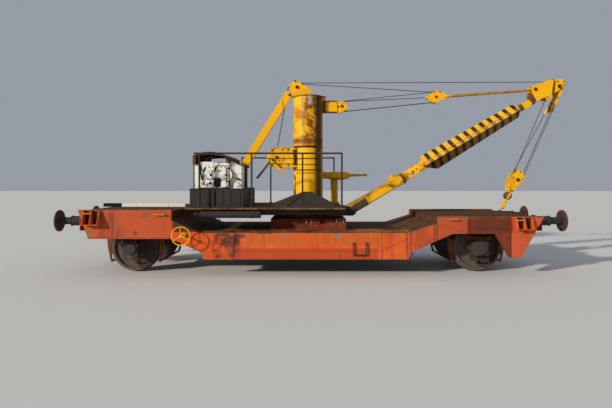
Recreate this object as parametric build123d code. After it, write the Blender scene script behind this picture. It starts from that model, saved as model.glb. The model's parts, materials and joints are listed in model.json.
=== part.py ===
from build123d import *
import math
import os

# Railway crane car: a two-axle well wagon with a slewing boom crane. Millimetres.
# X runs along the wagon with the boom head at +X, Y runs across it and Z up from the rail top.

# Wheels and axles
wheel_d = 1000
flange_h = 28
axle_spread = 7240
back_to_back = 1360
rim_w = 135
axle_d = 160
journal_d = 120
journal_end_y = 1092
journal_gap = 0.1

# Wagon body
body_w = 2760
web_t = 16
rim_t = 14
rim_d = 90
floor_t = 20
deck_lip = 25
well_z = 855
belly_z = 325
left_end_x = -4570
left_step_x = -2700
left_step_z = 1107
left_well_x = -2137
left_deck_z = 1290
left_skirt_x = -2700
left_skirt_z = 735
left_rake = 210
right_end_x = 4770
right_step_x = 2650
right_step_z = 1045
right_well_x = 2040
right_deck_z = 1155
horn_x = 4300
horn_w = 210
horn_z = 361
arch_right_x = 3786
arch_left_x = 2936
arch_z = 835
belly_half_l = 2060
belly_knee_z = 450
seam_w = 50
seam_t = 8
seam_xs = (-1480, 1460, 2040, 2575, 3220)

# Underframe
solebar_y = 949
solebar_w = 80
solebar_h = 220
solebar_t = 14
bearer_w = 60
bearer_h = 160
bearer_spread = 620
end_beam_t = 100
end_beam_web = 16

# Running gear
guard_t = 14
guard_gap = 2
box_half_l = 150
box_h = 280
box_in_y = 915
box_out_y = 1100
box_cover_d = 230
spring_half_l = 600
spring_camber = 70
leaf_t = 13
leaf_n = 7
leaf_w = 90
spring_y = 1020
shoe_gap = 10
shoe_t = 50
shoe_w = 76
shoe_half_deg = 18

# Buffers and draw gear
buffer_z = 1060
buffer_y = 875
buffer_l = 650
buffer_head_d = 450
buffer_crown = 20
hook_z = 1060
hook_half_t = 26
seat_gap = 0.3

# Slewing ring and turning platform
slew_x = 50
base_l = 1600
base_w = 1560
base_top_z = 1090
base_rib_w = 20
base_recess = 60
ring_d = 1250
ring_top_z = 1130
platform_z = 1350
platform_t = 30
platform_left_x = -2450
platform_right_x = 800
platform_w = 2600
turntable_d = 1200
frame_inset_x = 130
frame_inset_y = 240
frame_beam_w = 60
frame_h = 130

# Column, head block, backstay and luffing arm
column_d = 664
column_wall = 16
column_top_z = 3820
flange_d = 684
flange_t = 30
band_t = 10
band_rows = ((2664, 40), (2397, 14), (2264, 12), (2142, 14))  # middle z and height of each ring
nose_x = 457
nose_half_w = 150
head_cheek_y = 75
head_cheek_t = 25
head_pin = (-206, column_top_z + 207)
head_sheave_d = 220
head_sheave_y = 36
stay_w = 170
stay_foot = (-1420, 2240)
stay_top = (-375, column_top_z + 95)
arm_z = column_top_z - 220
arm_pin_x = 815
arm_end_x = 715
arm_sheave_d = 250
arm_cheek_y = 60
arm_cheek_t = 25

# Boom, in its own frame: u runs from the foot pin to the head, v up from that line
boom_foot = (1000, 1225)
boom_slope = 30.5
boom_half_w = 140
boom_pin_d = 70
luff_pin = (5185, 3975)
luff_pin_d = 50
pin_gap = 0.08
head_half_w = 130
bracket_t = 30
bracket_gap = 5

# Hook block, hung on falls that lean towards the boom head
hoist_pin = (5740, 4040)
fall_lean = 24
fall_l = 2314
fall_y = 45
rope_d = 16
hoist_sheave_d = 240
block_half_w = 100
block_cheek_t = 22
luff_sheave_d = 240
luff_sheave_y = 16
luff_sheave_half_w = 14
luff_block_pin = (2955, 3815)
block_pin = (
    hoist_pin[0] - fall_l * math.sin(math.radians(fall_lean)),
    hoist_pin[1] - fall_l * math.cos(math.radians(fall_lean)),
)

# The frame's origin: under the middle of the whole length, at the flange tips
head_end_x = 5900
origin_x = ((left_end_x - buffer_l) + head_end_x) / 2
origin = Location((-origin_x, 0, flange_h))

axle_z = wheel_d / 2
axle_xs = (-axle_spread / 2, axle_spread / 2)
girder_in_y = body_w / 2 - rim_d
groove_share = 0.12
on_foot = (Align.CENTER, Align.CENTER, Align.MIN)


# Helpers

def block(x0, x1, y0, y1, z0, z1):
    """A block between two X, two Y and two Z values."""
    return Pos(x0, y0, z0) * Box(x1 - x0, y1 - y0, z1 - z0, align=Align.MIN)


def outline(points):
    """A face in the XZ plane from points given as X and Z."""
    return Plane.XZ * make_face(Polyline(*points, close=True))


def slab(points, y0, y1):
    """A plate with an outline given in X and Z, between two Y values."""
    return Pos(0, y1, 0) * extrude(outline(points), amount=y1 - y0)


def across(x, z, d, y0, y1):
    """A round bar that lies across the wagon."""
    return Pos(x, (y0 + y1) / 2, z) * Rot(90, 0, 0) * Cylinder(d / 2, y1 - y0)


def along(x0, x1, y, z, d):
    """A round bar that lies along the wagon."""
    return Pos((x0 + x1) / 2, y, z) * Rot(0, 90, 0) * Cylinder(d / 2, x1 - x0)


def upright(x, y, z0, z1, d):
    """A round bar that stands up."""
    return Pos(x, y, (z0 + z1) / 2) * Cylinder(d / 2, z1 - z0)


def bar(p, q, d):
    """A round bar from point p to point q."""
    start = Vector(p)
    run = Vector(q) - start
    return Plane(origin=start, z_dir=run) * Cylinder(d / 2, run.length, align=on_foot)


def taper(p, q, d0, d1):
    """A round bar from point p to point q whose diameter changes on the way."""
    start = Vector(p)
    run = Vector(q) - start
    return Plane(origin=start, z_dir=run) * Cone(d0 / 2, d1 / 2, run.length, align=on_foot)


def strip(p, q, w, y0, y1):
    """A flat bar with round ends between two places in X and Z, from y0 to y1."""
    run = Vector(q[0] - p[0], 0, q[1] - p[1])
    middle = ((p[0] + q[0]) / 2, y1, (p[1] + q[1]) / 2)
    face = Plane(origin=middle, x_dir=run, z_dir=(0, -1, 0)) * SlotCenterToCenter(run.length, w)
    return extrude(face, amount=y1 - y0)


def turned(points):
    """A turned solid about the Z axis from its half section, given as radius and Z."""
    return revolve(Plane.XZ * make_face(Polyline(*points, close=True)), axis=Axis.Z)


def both(piece):
    """A piece of the near side with its twin on the far side."""
    return [piece, mirror(piece, about=Plane.XZ)]


def fuse(pieces):
    """One body from pieces that touch or overlap."""
    first = pieces[0]
    return first.fuse(*pieces[1:]).clean() if len(pieces) > 1 else first


def toothed(x, z, r, teeth, y0, y1):
    """A small spur wheel with plain tapered teeth."""
    root = r * (1 - 2.2 / teeth)
    flank = ((-0.32, root), (-0.16, r), (0.16, r), (0.32, root))
    points = []
    for tooth in range(teeth):
        for share, reach in flank:
            turn = 2 * math.pi * (tooth + share) / teeth
            points.append((x + reach * math.cos(turn), z + reach * math.sin(turn)))
    return slab(points, y0, y1)


def rope_reach(wheel_d):
    """From a rope wheel's pin to the middle of the rope in its groove."""
    return (1 - groove_share) * wheel_d / 2 + rope_d / 2 + seat_gap


def rope_run(p, p_wheel_d, q, q_wheel_d, side):
    """The taut rope between two wheels: above both for side 1, below both for side -1."""
    start, end = Vector(p), Vector(q)
    run = Vector(end.X - start.X, 0, end.Z - start.Z)
    ahead = run.normalized()
    r0, r1 = rope_reach(p_wheel_d), rope_reach(q_wheel_d)
    lift = (r0 - r1) / run.length
    out = Vector(-ahead.Z, 0, ahead.X) * side * math.sqrt(1 - lift ** 2) + ahead * lift
    return bar(start + out * r0, end + out * r1, rope_d)


def sheave(x, z, d, half_w, bore_d):
    """A grooved rope wheel between y = -half_w and half_w."""
    r = d / 2
    lip = groove_share * r
    points = [(-half_w, bore_d / 2), (half_w, bore_d / 2), (half_w, r), (0.4 * half_w, r - lip)]
    points += [(-0.4 * half_w, r - lip), (-half_w, r)]
    profile = Plane.YZ * make_face(Polyline(*points, close=True))
    return Pos(x, 0, z) * revolve(profile, axis=Axis.Y)


nodes = {}


def keep(name, pieces):
    """Store the solids of one node."""
    nodes[name] = pieces if isinstance(pieces, list) else [pieces]


# Wheelsets

def wheelset(x):
    inner = back_to_back / 2
    tread_r = wheel_d / 2
    rim_r = tread_r - 62
    half = [
        (0, 0), (0, axle_d / 2), (inner - 40, axle_d / 2), (inner - 40, 115), (inner + 30, 115),
        (inner + 55, rim_r), (inner, rim_r), (inner, tread_r + 12), (inner + 10, tread_r + flange_h),
        (inner + 22, tread_r + flange_h), (inner + 36, tread_r + 4), (inner + rim_w, tread_r - 4),
        (inner + rim_w, rim_r), (inner + 85, rim_r), (inner + 75, 115), (inner + 140, 115),
        (inner + 140, journal_d / 2), (journal_end_y, journal_d / 2), (journal_end_y, 0),
    ]
    profile = Plane.YZ * make_face(Polyline(*half, close=True))
    side = revolve(profile, axis=Axis.Y)
    return Pos(x, 0, axle_z) * fuse([side, mirror(side, about=Plane.XZ)])


keep("wheelset_left", wheelset(axle_xs[0]))
keep("wheelset_right", wheelset(axle_xs[1]))


# Side girders: a web with a rim of flanges turned inwards

def side_girder():
    left_top = left_deck_z + deck_lip
    right_top = right_deck_z + deck_lip
    points = [
        (left_end_x, left_top), (left_step_x, left_top), (left_step_x, left_step_z), (left_well_x, well_z),
        (right_well_x, well_z), (right_step_x, right_step_z), (right_step_x, right_top),
        (right_end_x, right_top), (horn_x, horn_z), (horn_x - horn_w, horn_z), (arch_right_x, arch_z),
        (arch_left_x, arch_z), (belly_half_l, belly_knee_z), (belly_half_l, belly_z), (-belly_half_l, belly_z),
        (-belly_half_l, belly_knee_z), (left_skirt_x, left_skirt_z), (left_end_x + left_rake, left_skirt_z),
    ]
    face = make_face(Polyline(*points, close=True))
    pocket = offset(face, amount=-rim_t, kind=Kind.INTERSECTION)
    body = extrude(Plane.XZ * face, amount=rim_d) - extrude(Plane.XZ * pocket, amount=rim_d - web_t)
    body = Pos(0, -girder_in_y, 0) * body
    skin = Pos(0, -body_w / 2, 0) * extrude(Plane.XZ * face, amount=seam_t)
    strips = [block(x, x + seam_w, -body_w / 2 - seam_t, -body_w / 2, 0, left_top) for x in seam_xs]
    return fuse([body] + [skin & piece for piece in strips])


near_girder = side_girder()
keep("side_girder_near", near_girder)
keep("side_girder_far", mirror(near_girder, about=Plane.XZ))


# Well floor on its sills, and the cross bearers let in between the sills and the girders

sill_y = 420
sill_web_t = 14
sill_foot_w = 120
sill_foot_t = 16
sill_drop = 30
sill_end = 90
bearer_t = 12
well_bearer_xs = (-1900, -1140, -380, 380, 1140, 1900)


def well_sill(y):
    low = belly_z + sill_drop
    x0 = left_well_x + sill_end
    x1 = right_well_x - sill_end
    web = block(x0, x1, y - sill_web_t / 2, y + sill_web_t / 2, low, well_z - floor_t)
    foot = block(x0, x1, y - sill_foot_w / 2, y + sill_foot_w / 2, low, low + sill_foot_t)
    return fuse([web, foot])


def well_bearers(x):
    """Three bearer plates in one line, each notched over the sills' feet."""
    low = belly_z + sill_drop + sill_foot_t + seat_gap
    web = sill_web_t / 2 + seat_gap
    spans = ((-girder_in_y, -sill_y - web), (-sill_y + web, sill_y - web), (sill_y + web, girder_in_y))
    return [block(x - bearer_t / 2, x + bearer_t / 2, y0, y1, low, well_z - floor_t) for y0, y1 in spans]


keep("well_floor", block(left_well_x, right_well_x, -girder_in_y, girder_in_y, well_z - floor_t, well_z))
keep("well_sills", [well_sill(-sill_y), well_sill(sill_y)])
keep("well_bearers", sum([well_bearers(x) for x in well_bearer_xs], []))


# End decks: deck plate, riser and ramp in one folded plate, over two solebars and their bearers

def end_deck(end_x, step_x, step_z, well_x, deck_z):
    s = 1 if well_x > end_x else -1
    t = floor_t
    under = deck_z - t
    back_x = step_x - s * t
    folded = [
        (end_x, deck_z), (step_x, deck_z), (step_x, step_z), (well_x, well_z), (well_x, well_z - t),
        (back_x, step_z - t), (back_x, under), (end_x, under),
    ]
    return slab(folded, -girder_in_y, girder_in_y)


def solebar(end_x, step_x, deck_z):
    """The near one of a pair of channels with their flanges turned out."""
    s = 1 if step_x > end_x else -1
    under = deck_z - floor_t
    x0, x1 = sorted((end_x + s * end_beam_t, step_x - s * floor_t))
    out_y = -solebar_y - solebar_w
    channel = block(x0, x1, out_y, -solebar_y, under - solebar_h, under)
    low = under - solebar_h + solebar_t
    return channel - block(x0, x1, out_y, -solebar_y - solebar_t, low, under - solebar_t)


def deck_bearers(axle_x, deck_z):
    """Cross bearers either side of an axle: a deep one between the solebars and a plate outside each."""
    under = deck_z - floor_t
    low = under - bearer_h
    out_y = solebar_y + solebar_w + seat_gap
    pieces = []
    for x in (axle_x - bearer_spread, axle_x + bearer_spread):
        pieces.append(block(x - bearer_w / 2, x + bearer_w / 2, -solebar_y, solebar_y, low, under))
        pieces += both(block(x - bearer_t / 2, x + bearer_t / 2, -girder_in_y, -out_y, low, under))
    return pieces


ends = {
    "left": (left_end_x, left_step_x, left_step_z, left_well_x, left_deck_z, axle_xs[0]),
    "right": (right_end_x, right_step_x, right_step_z, right_well_x, right_deck_z, axle_xs[1]),
}
solebars = []
bearers = []
for end, (end_x, step_x, step_z, well_x, deck_z, axle_x) in ends.items():
    keep("deck_" + end, end_deck(end_x, step_x, step_z, well_x, deck_z))
    solebars += both(solebar(end_x, step_x, deck_z))
    bearers += deck_bearers(axle_x, deck_z)
keep("solebars", solebars)
keep("deck_bearers", bearers)


# End beams, buffers and draw gear

def end_beam(end_x, s, deck_z):
    top = deck_z - floor_t
    low = buffer_z - 170
    y = girder_in_y
    x0, x1 = sorted((end_x, end_x + s * end_beam_t))
    w0, w1 = sorted((end_x + s * end_beam_web, end_x + s * end_beam_t))
    beam = block(x0, x1, -y, y, low, top) - block(w0, w1, -y, y, low + 14, top - 14)
    half_hole = hook_half_t + seat_gap
    return beam - block(x0, x1, -half_hole, half_hole, hook_z - half_hole, hook_z + half_hole)


def buffer(end_x, s):
    head_r = buffer_head_d / 2
    crown_r = (head_r ** 2 + buffer_crown ** 2) / (2 * buffer_crown)
    a = math.asin(head_r / crown_r)
    edge_x = buffer_l - buffer_crown
    half = [
        (0, 0), (0, 125), (22, 125), (22, 112), (70, 112), (90, 100), (330, 100), (330, 108), (350, 108),
        (350, 76), (edge_x - 30, 76), (edge_x - 24, head_r), (edge_x, head_r),
    ]
    mid = (buffer_l - crown_r + crown_r * math.cos(a / 2), crown_r * math.sin(a / 2))
    crown = ThreePointArc((edge_x, head_r), mid, (buffer_l, 0))
    face = make_face(Polyline(*half) + crown + Line((buffer_l, 0), (0, 0)))
    solid = revolve(Plane.XZ * face, axis=Axis.X)
    plate = block(0, 20, -170, 170, -80, 80)
    whole = fuse([solid, plate])
    if s > 0:
        whole = mirror(whole, about=Plane.YZ)
    return Pos(end_x, -buffer_y, buffer_z) * whole


def draw_hook(end_x, s):
    eye_x = 215
    ring_r = 92
    hole_r = 44
    half_t = hook_half_t
    shank = block(-end_beam_t, eye_x - 60, -half_t, half_t, -half_t, half_t)
    ring = across(eye_x, 0, 2 * ring_r, -half_t, half_t) - across(eye_x, 0, 2 * hole_r, -half_t, half_t)
    mouth = block(eye_x - 10, eye_x + 34, -half_t, half_t, 0, ring_r)
    hook = fuse([shank, ring - mouth])
    bar_r = 17
    side_y = half_t + bar_r + 1
    top_z = -hole_r + bar_r + seat_gap
    drop = 330
    link = [
        Pos(eye_x, 0, 0) * bar((0, y, top_z), (0, y, top_z - drop), 2 * bar_r) for y in (-side_y, side_y)
    ]
    link.append(Pos(eye_x, 0, 0) * bar((0, -side_y, top_z), (0, side_y, top_z), 2 * bar_r))
    link.append(Pos(eye_x, 0, 0) * bar((0, -side_y, top_z - drop), (0, side_y, top_z - drop), 2 * bar_r))
    pieces = [hook, fuse(link)]
    if s > 0:
        pieces = [mirror(piece, about=Plane.YZ) for piece in pieces]
    return [Pos(end_x, 0, hook_z) * piece for piece in pieces]


for end, s, end_x, deck_z in (("left", 1, left_end_x, left_deck_z), ("right", -1, right_end_x, right_deck_z)):
    keep("end_beam_" + end, end_beam(end_x, s, deck_z))
    keep("buffers_" + end, both(buffer(end_x, s)))
    keep("draw_gear_" + end, draw_hook(end_x, s))


# Running gear, made on the near side of each axle

def guard(axle_x, low_z):
    horn = box_half_l - 10
    top = low_z + solebar_h - 20
    half = [(horn, 260), (horn + 62, 260), (horn + 62, 420), (470, low_z), (470, top)]
    crown_z = axle_z + box_h / 2 + 90
    right = [(axle_x + x, z) for x, z in half]
    left = [(axle_x - x, z) for x, z in reversed(half)]
    crown = [(axle_x - horn, crown_z), (axle_x + horn, crown_z)]
    plate = slab(right + left + crown, -solebar_y, -solebar_y + guard_t)
    window = [(horn + 80, 520), (horn + 80, low_z - 40), (400, low_z - 40)]
    for side in (-1, 1):
        plate -= slab([(axle_x + side * x, z) for x, z in window], -solebar_y, -solebar_y + guard_t)
    tie = block(axle_x - horn - 62, axle_x + horn + 62, -solebar_y, -solebar_y + guard_t, 235, 260)
    return fuse([plate, tie])


def axle_box(axle_x):
    z0 = axle_z - box_h / 2
    z1 = axle_z + box_h / 2
    horn = box_half_l - 10 - guard_gap
    body = block(axle_x - box_half_l, axle_x + box_half_l, -box_out_y, -box_in_y, z0, z1)
    body = fillet(body.edges().filter_by(Axis.Y), 45)
    cover = across(axle_x, axle_z, box_cover_d, -box_out_y - 28, -box_out_y + 5)
    solid = fuse([body, cover])
    slot_y0 = -solebar_y - guard_gap
    slot_y1 = -solebar_y + guard_t + guard_gap
    for side in (-1, 1):
        x0, x1 = sorted((axle_x + side * horn, axle_x + side * (box_half_l + 1)))
        solid -= block(x0, x1, slot_y0, slot_y1, z0, z1)
    return solid - across(axle_x, axle_z, journal_d + 2 * journal_gap, -journal_end_y - 1, -box_in_y + 1)


def leaf_spring(axle_x, low_z):
    seat = axle_z + box_h / 2
    stack = leaf_n * leaf_t
    base = seat + 15
    radius = (spring_half_l ** 2 + spring_camber ** 2) / (2 * spring_camber)
    centre_z = base + stack + radius
    pieces = []
    for i in range(leaf_n):
        half_l = spring_half_l - i * (spring_half_l - 130) / (leaf_n - 1)
        r0 = radius + i * leaf_t
        r1 = r0 + leaf_t
        a = math.asin(half_l / r0)
        corners = ((r0, -1), (r0, 1), (r1, 1), (r1, -1))
        ends = [(side * r * math.sin(a), centre_z - r * math.cos(a)) for r, side in corners]
        upper = ThreePointArc(ends[0], (0, centre_z - r0), ends[1])
        lower = ThreePointArc(ends[2], (0, centre_z - r1), ends[3])
        face = make_face(upper + Line(ends[1], ends[2]) + lower + Line(ends[3], ends[0]))
        pieces.append(Pos(axle_x, leaf_w / 2 - spring_y, 0) * extrude(Plane.XZ * face, amount=leaf_w))
    y0 = -spring_y - leaf_w / 2
    y1 = -spring_y + leaf_w / 2
    pieces.append(block(axle_x - 55, axle_x + 55, y0 - 12, y1 + 12, seat, base + stack + 15))
    eye_z = centre_z - math.sqrt(radius ** 2 - spring_half_l ** 2)
    for side in (-1, 1):
        x = axle_x + side * spring_half_l
        pieces.append(across(x, eye_z, 46, y0, y1))
        pieces.append(block(x - 20, x + 20, y0 + 10, y1 - 10, eye_z, low_z))
    return fuse(pieces)


def brake_side(axle_x, s, bearer_low):
    """Two brake shoes, their hangers and the bar between them, on one side of an axle."""
    r0 = wheel_d / 2 + shoe_gap
    r1 = r0 + shoe_t
    a = math.radians(shoe_half_deg)
    tread_y = back_to_back / 2 + rim_w / 2 + 10
    pieces = []
    ring = across(0, 0, 2 * r1, -shoe_w / 2, shoe_w / 2) - across(0, 0, 2 * r0, -shoe_w / 2, shoe_w / 2)
    far_x = r1 + 60
    wedge = slab([(0, 0), (far_x, far_x * math.tan(a)), (far_x, -far_x * math.tan(a))], -shoe_w, shoe_w)
    shoe = ring & wedge
    top = bearer_low - axle_z
    hanger = slab([
        (bearer_spread - 28, top), (bearer_spread + 28, top), (r1 + 40, 0), (r1 - 20, -300), (r1 - 78, -330),
        (r1 - 8, -40), (r1 - 8, 60),
    ], -9, 9)
    for side in (-1, 1):
        pieces.append(Pos(0, side * tread_y, 0) * fuse([shoe, hanger]))
    rod = across(r1 - 46, -305, 44, -tread_y, tread_y)
    joined = fuse(pieces + [rod])
    if s < 0:
        joined = mirror(joined, about=Plane.YZ)
    return Pos(axle_x, 0, axle_z) * joined


guards = []
boxes = []
springs = []
brakes = []
for axle_x, deck_z in zip(axle_xs, (left_deck_z, right_deck_z)):
    low_z = deck_z - floor_t - solebar_h
    guards += both(guard(axle_x, low_z))
    boxes += both(axle_box(axle_x))
    springs += both(leaf_spring(axle_x, low_z))
    brakes += [brake_side(axle_x, s, deck_z - floor_t - bearer_h) for s in (-1, 1)]
keep("axle_guards", guards)
keep("axle_boxes", boxes)
keep("leaf_springs", springs)
keep("brake_gear", brakes)


# Handbrake wheels, post pockets, steps, handles and the stowed beam

brake_wheel_x = -2440
brake_wheel_z = 820
brake_wheel_r = 190
brake_wheel_out = 250
brake_rim_d = 22


def handbrake():
    """A spoked wheel on a spindle that comes out of the side plate."""
    x, z = brake_wheel_x, brake_wheel_z
    plate_y = -body_w / 2
    y_out = plate_y - brake_wheel_out
    spoke_l = brake_wheel_r - brake_rim_d / 2
    rim = Pos(x, y_out, z) * Rot(90, 0, 0) * Torus(spoke_l, brake_rim_d / 2)
    pieces = [rim, across(x, z, 56, y_out - 16, y_out + 26)]
    for turn in (95, 215, 335):
        dx = spoke_l * math.cos(math.radians(turn))
        dz = spoke_l * math.sin(math.radians(turn))
        pieces.append(bar((x, y_out, z), (x + dx, y_out, z + dz), 16))
    pieces.append(across(x, z, 34, y_out, plate_y))
    pieces.append(across(x, z, 90, plate_y - 40, plate_y))
    return fuse(pieces)


keep("handbrake_wheels", both(handbrake()))

# Each row: first gusset's x, pitch, foot z and top z
pocket_rows = {
    "left": (-4440, 155, 1030, left_deck_z + deck_lip),
    "right": (4190, 155, 940, right_deck_z + deck_lip),
}
pocket_out = 150
pocket_t = 14


def pocket(x, pitch, low, top):
    """Two bays between three gussets on a shelf, with a bar across the first."""
    y = -body_w / 2
    lip = 40
    side = Polyline((y, low), (y - pocket_out, low), (y - lip, top), (y, top), close=True)
    gusset = extrude(Plane.YZ * make_face(side), amount=pocket_t)
    pieces = [Pos(x + i * pitch, 0, 0) * gusset for i in range(3)]
    pieces.append(block(x, x + 2 * pitch + pocket_t, y - pocket_out, y, low - pocket_t, low))
    pieces.append(along(x, x + pitch, y - lip - 25, top - 70, 24))
    return fuse(pieces)


keep("post_pockets", sum([both(pocket(*row)) for row in pocket_rows.values()], []))


def grab(x0, x1, z):
    y = -body_w / 2
    out = 60
    ends = [bar((x, y, z), (x, y - out, z), 22) for x in (x0, x1)]
    return fuse(ends + [along(x0 - 11, x1 + 11, y - out, z, 26)])


def stirrup(x0, x1, z0, z1):
    """A flat strap bent to a U, held off the side plate by two blocks."""
    y = -body_w / 2
    w = 12
    y0 = y - 30 - w
    strap = block(x0 - w, x1 + w, y0, y0 + w, z0 - w, z1) - block(x0 + w, x1 - w, y0, y0 + w, z0 + w, z1)
    feet = [block(x - w, x + w, y0 + w, y, z1 - 40, z1) for x in (x0, x1)]
    return fuse([strap] + feet)


steps = both(grab(-3020, -2820, 1225)) + both(grab(2860, 3020, 1130)) + both(stirrup(950, 1210, 415, 665))
keep("steps_and_handles", steps)

beam_x = (-4550, -2850)
beam_y = (330, 430)
beam_h = 80
keep("stowed_beam", block(*beam_x, *beam_y, left_deck_z, left_deck_z + beam_h))


# Slewing base on the well floor: two open bays with a grille at the left, plain panels at the right

bay_n = 4
grille_n = 6
grille_pitch = 54
grille_top_z = 1000
# Back from the base's right end: the notch's two sides, and each upright rib
notch_back = (552, 431)
rib_backs = (735, 205, 60)


def slew_base():
    x0 = slew_x - base_l / 2
    x1 = x0 + base_l
    y = base_w / 2
    body = block(x0, x0 + base_l, -y, y, well_z, base_top_z)
    bay = (base_l - (bay_n + 1) * base_rib_w) / bay_n
    grille_x = x0 + 2 * base_rib_w + bay
    for face in (-y, y):
        inward = 1 if face < 0 else -1
        y0, y1 = sorted((face, face + inward * base_recess))
        for bx in (x0 + base_rib_w, grille_x):
            body -= block(bx, bx + bay, y0, y1, well_z + base_rib_w, base_top_z - base_rib_w)
        notch = (x1 - notch_back[0], x1 - notch_back[1])
        body -= block(*notch, y0, y1, base_top_z - 110, base_top_z - base_rib_w)
    pieces = [body, upright(slew_x, 0, base_top_z, ring_top_z, ring_d)]
    for face in (-y + 8, y - 20):
        pieces.append(block(grille_x, grille_x + bay, face, face + 12, grille_top_z, grille_top_z + 14))
        for i in range(grille_n):
            x = grille_x + 22 + i * grille_pitch
            pieces.append(block(x, x + 12, face, face + 12, well_z + base_rib_w, grille_top_z))
    for back in rib_backs:
        pieces.append(block(x1 - back, x1 - back + 14, -y - 6, y + 6, well_z, base_top_z))
    return fuse(pieces)


keep("slew_base", slew_base())


# Turning platform: plate, ring housing and the frame below it

def platform():
    under = platform_z - platform_t
    y = platform_w / 2
    plate = block(platform_left_x, platform_right_x, -y, y, under, platform_z)
    return fuse([plate, upright(slew_x, 0, ring_top_z + seat_gap, under, turntable_d)])


def platform_frame():
    """Two sills beside the turntable, edge beams and cross beams, under the plate."""
    under = platform_z - platform_t
    x0 = platform_left_x + frame_inset_x
    x1 = platform_right_x
    y = platform_w / 2 - frame_inset_y
    w = frame_beam_w
    inner_y = turntable_d / 2 + seat_gap
    beams = [block(x0, x1, side, side + w, under - frame_h, under) for side in (-inner_y - w, inner_y)]
    beams += [block(x0, x1 - w, side, side + w, under - frame_h, under) for side in (-y, y - w)]
    beams += [block(x, x + w, -y, y, under - frame_h, under) for x in (x0, -1250, x1 - w)]
    return fuse(beams)


keep("platform", platform())
keep("platform_frame", platform_frame())

tank_y = -1205
tank_x = (-2150, -920)
tank_d = 150
tank_z = 1215


def tank():
    body = along(*tank_x, tank_y, tank_z, tank_d)
    straps = []
    for x in (tank_x[0] + 180, tank_x[1] - 180):
        straps.append(along(x, x + 40, tank_y, tank_z, tank_d + 12))
        straps.append(block(x, x + 40, tank_y - 20, tank_y + 20, tank_z, platform_z - platform_t))
    return fuse([body] + straps)


keep("platform_tank", tank())


# Column, its foot skirt and its head

def column():
    """The column's tube with its rings, closed by a top plate that runs out to a nose over the arm."""
    under = column_top_z - flange_t
    edge_x = slew_x + column_d / 2 - 32
    pieces = [upright(slew_x, 0, platform_z, under, column_d)]
    pieces += [upright(slew_x, 0, z - h / 2, z + h / 2, column_d + 2 * band_t) for z, h in band_rows]
    pieces.append(upright(slew_x, 0, under, column_top_z, flange_d))
    pieces.append(block(slew_x, nose_x, -nose_half_w, nose_half_w, under, column_top_z))
    pieces += both(slab([(edge_x, under), (nose_x - 8, under), (edge_x, under - 130)], -126, -110))
    hollow = upright(slew_x, 0, platform_z, under - 20, column_d - 2 * column_wall)
    return fuse(pieces) - hollow


keep("column", column())


def skirt():
    base = Pos(-75, 0, platform_z) * Rectangle(1510, 1440)
    crest = Pos(30, 0, platform_z + 310) * Rectangle(200, 860)
    solid = loft([base, crest])
    return solid - upright(slew_x, 0, platform_z - 1, platform_z + 400, column_d + 2 * seat_gap)


keep("column_skirt", skirt())

# Head on the column, as X and rise above the column's top
head_cheek = ((-258, 370), (-388, 240), (-300, 0), (90, 0), (90, 35), (-84, 200), (-84, 285))
head_brace = ((-110, 298), (-84, 285), (122, 140), (108, 0), (80, 0), (80, 30), (-100, 208))
head_brace_t = 12
# Each bolt: X, rise and diameter; the second is the roller that the winch's rope bends over
head_bolts = ((-250, 345, 30), (-368, 238, 56))


def head_block():
    """Two cheeks with a brace plate outside each, two rope wheels on one pin, a bolt and a roller."""
    y0 = head_cheek_y
    y1 = head_cheek_y + head_cheek_t
    y2 = y1 + head_brace_t
    pieces = both(slab([(x, column_top_z + rise) for x, rise in head_cheek], -y1, -y0))
    pieces += both(slab([(x, column_top_z + rise) for x, rise in head_brace], -y2, -y1))
    for y in (-head_sheave_y, head_sheave_y):
        pieces.append(Pos(0, y, 0) * sheave(*head_pin, head_sheave_d, 30, 50))
    pieces.append(across(*head_pin, 50, -y1 - 20, y1 + 20))
    pieces += [across(x, column_top_z + rise, d, -y2, y2) for x, rise, d in head_bolts]
    return fuse(pieces)


keep("column_head", head_block())


def backstay():
    """A straight box from the pillar up between the head's cheeks, cut level at its foot."""
    run = Vector(stay_top[0] - stay_foot[0], stay_top[1] - stay_foot[1]).normalized()
    half_foot = stay_w / 2 / run.Y
    dx = stay_w / 2 * run.Y
    dz = stay_w / 2 * run.X
    x, z = stay_top
    points = [
        (stay_foot[0] - half_foot, stay_foot[1]), (stay_foot[0] + half_foot, stay_foot[1]),
        (x + dx, z - dz), (x - dx, z + dz),
    ]
    return slab(points, -head_cheek_y, head_cheek_y)


keep("backstay", backstay())

pillar_x = (-1490, -1350)
pillar_y = 90
pillar_cap_t = 40


def pillar():
    under = stay_foot[1] - pillar_cap_t
    post = block(*pillar_x, -pillar_y, pillar_y, platform_z, under)
    cap = block(stay_foot[0] - 115, stay_foot[0] + 115, -105, 105, under, stay_foot[1])
    return fuse([post, cap])


keep("stay_pillar", pillar())

# Luffing arm, as X and rise from its pin
arm_rise = (-145, 125)
arm_plate_t = 20
arm_plate_y = 75
arm_slot_gap = 10
arm_arrow = ((-109, 111), (-41, 106), (137, 33), (135, -58), (39, -117), (-72, -167))


def luff_wheels(x, z, d, bore_d):
    """The two narrow rope wheels side by side on one pin."""
    wheel = sheave(x, z, d, luff_sheave_half_w, bore_d)
    return [Pos(0, y, 0) * wheel for y in (-luff_sheave_y, luff_sheave_y)]


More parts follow.
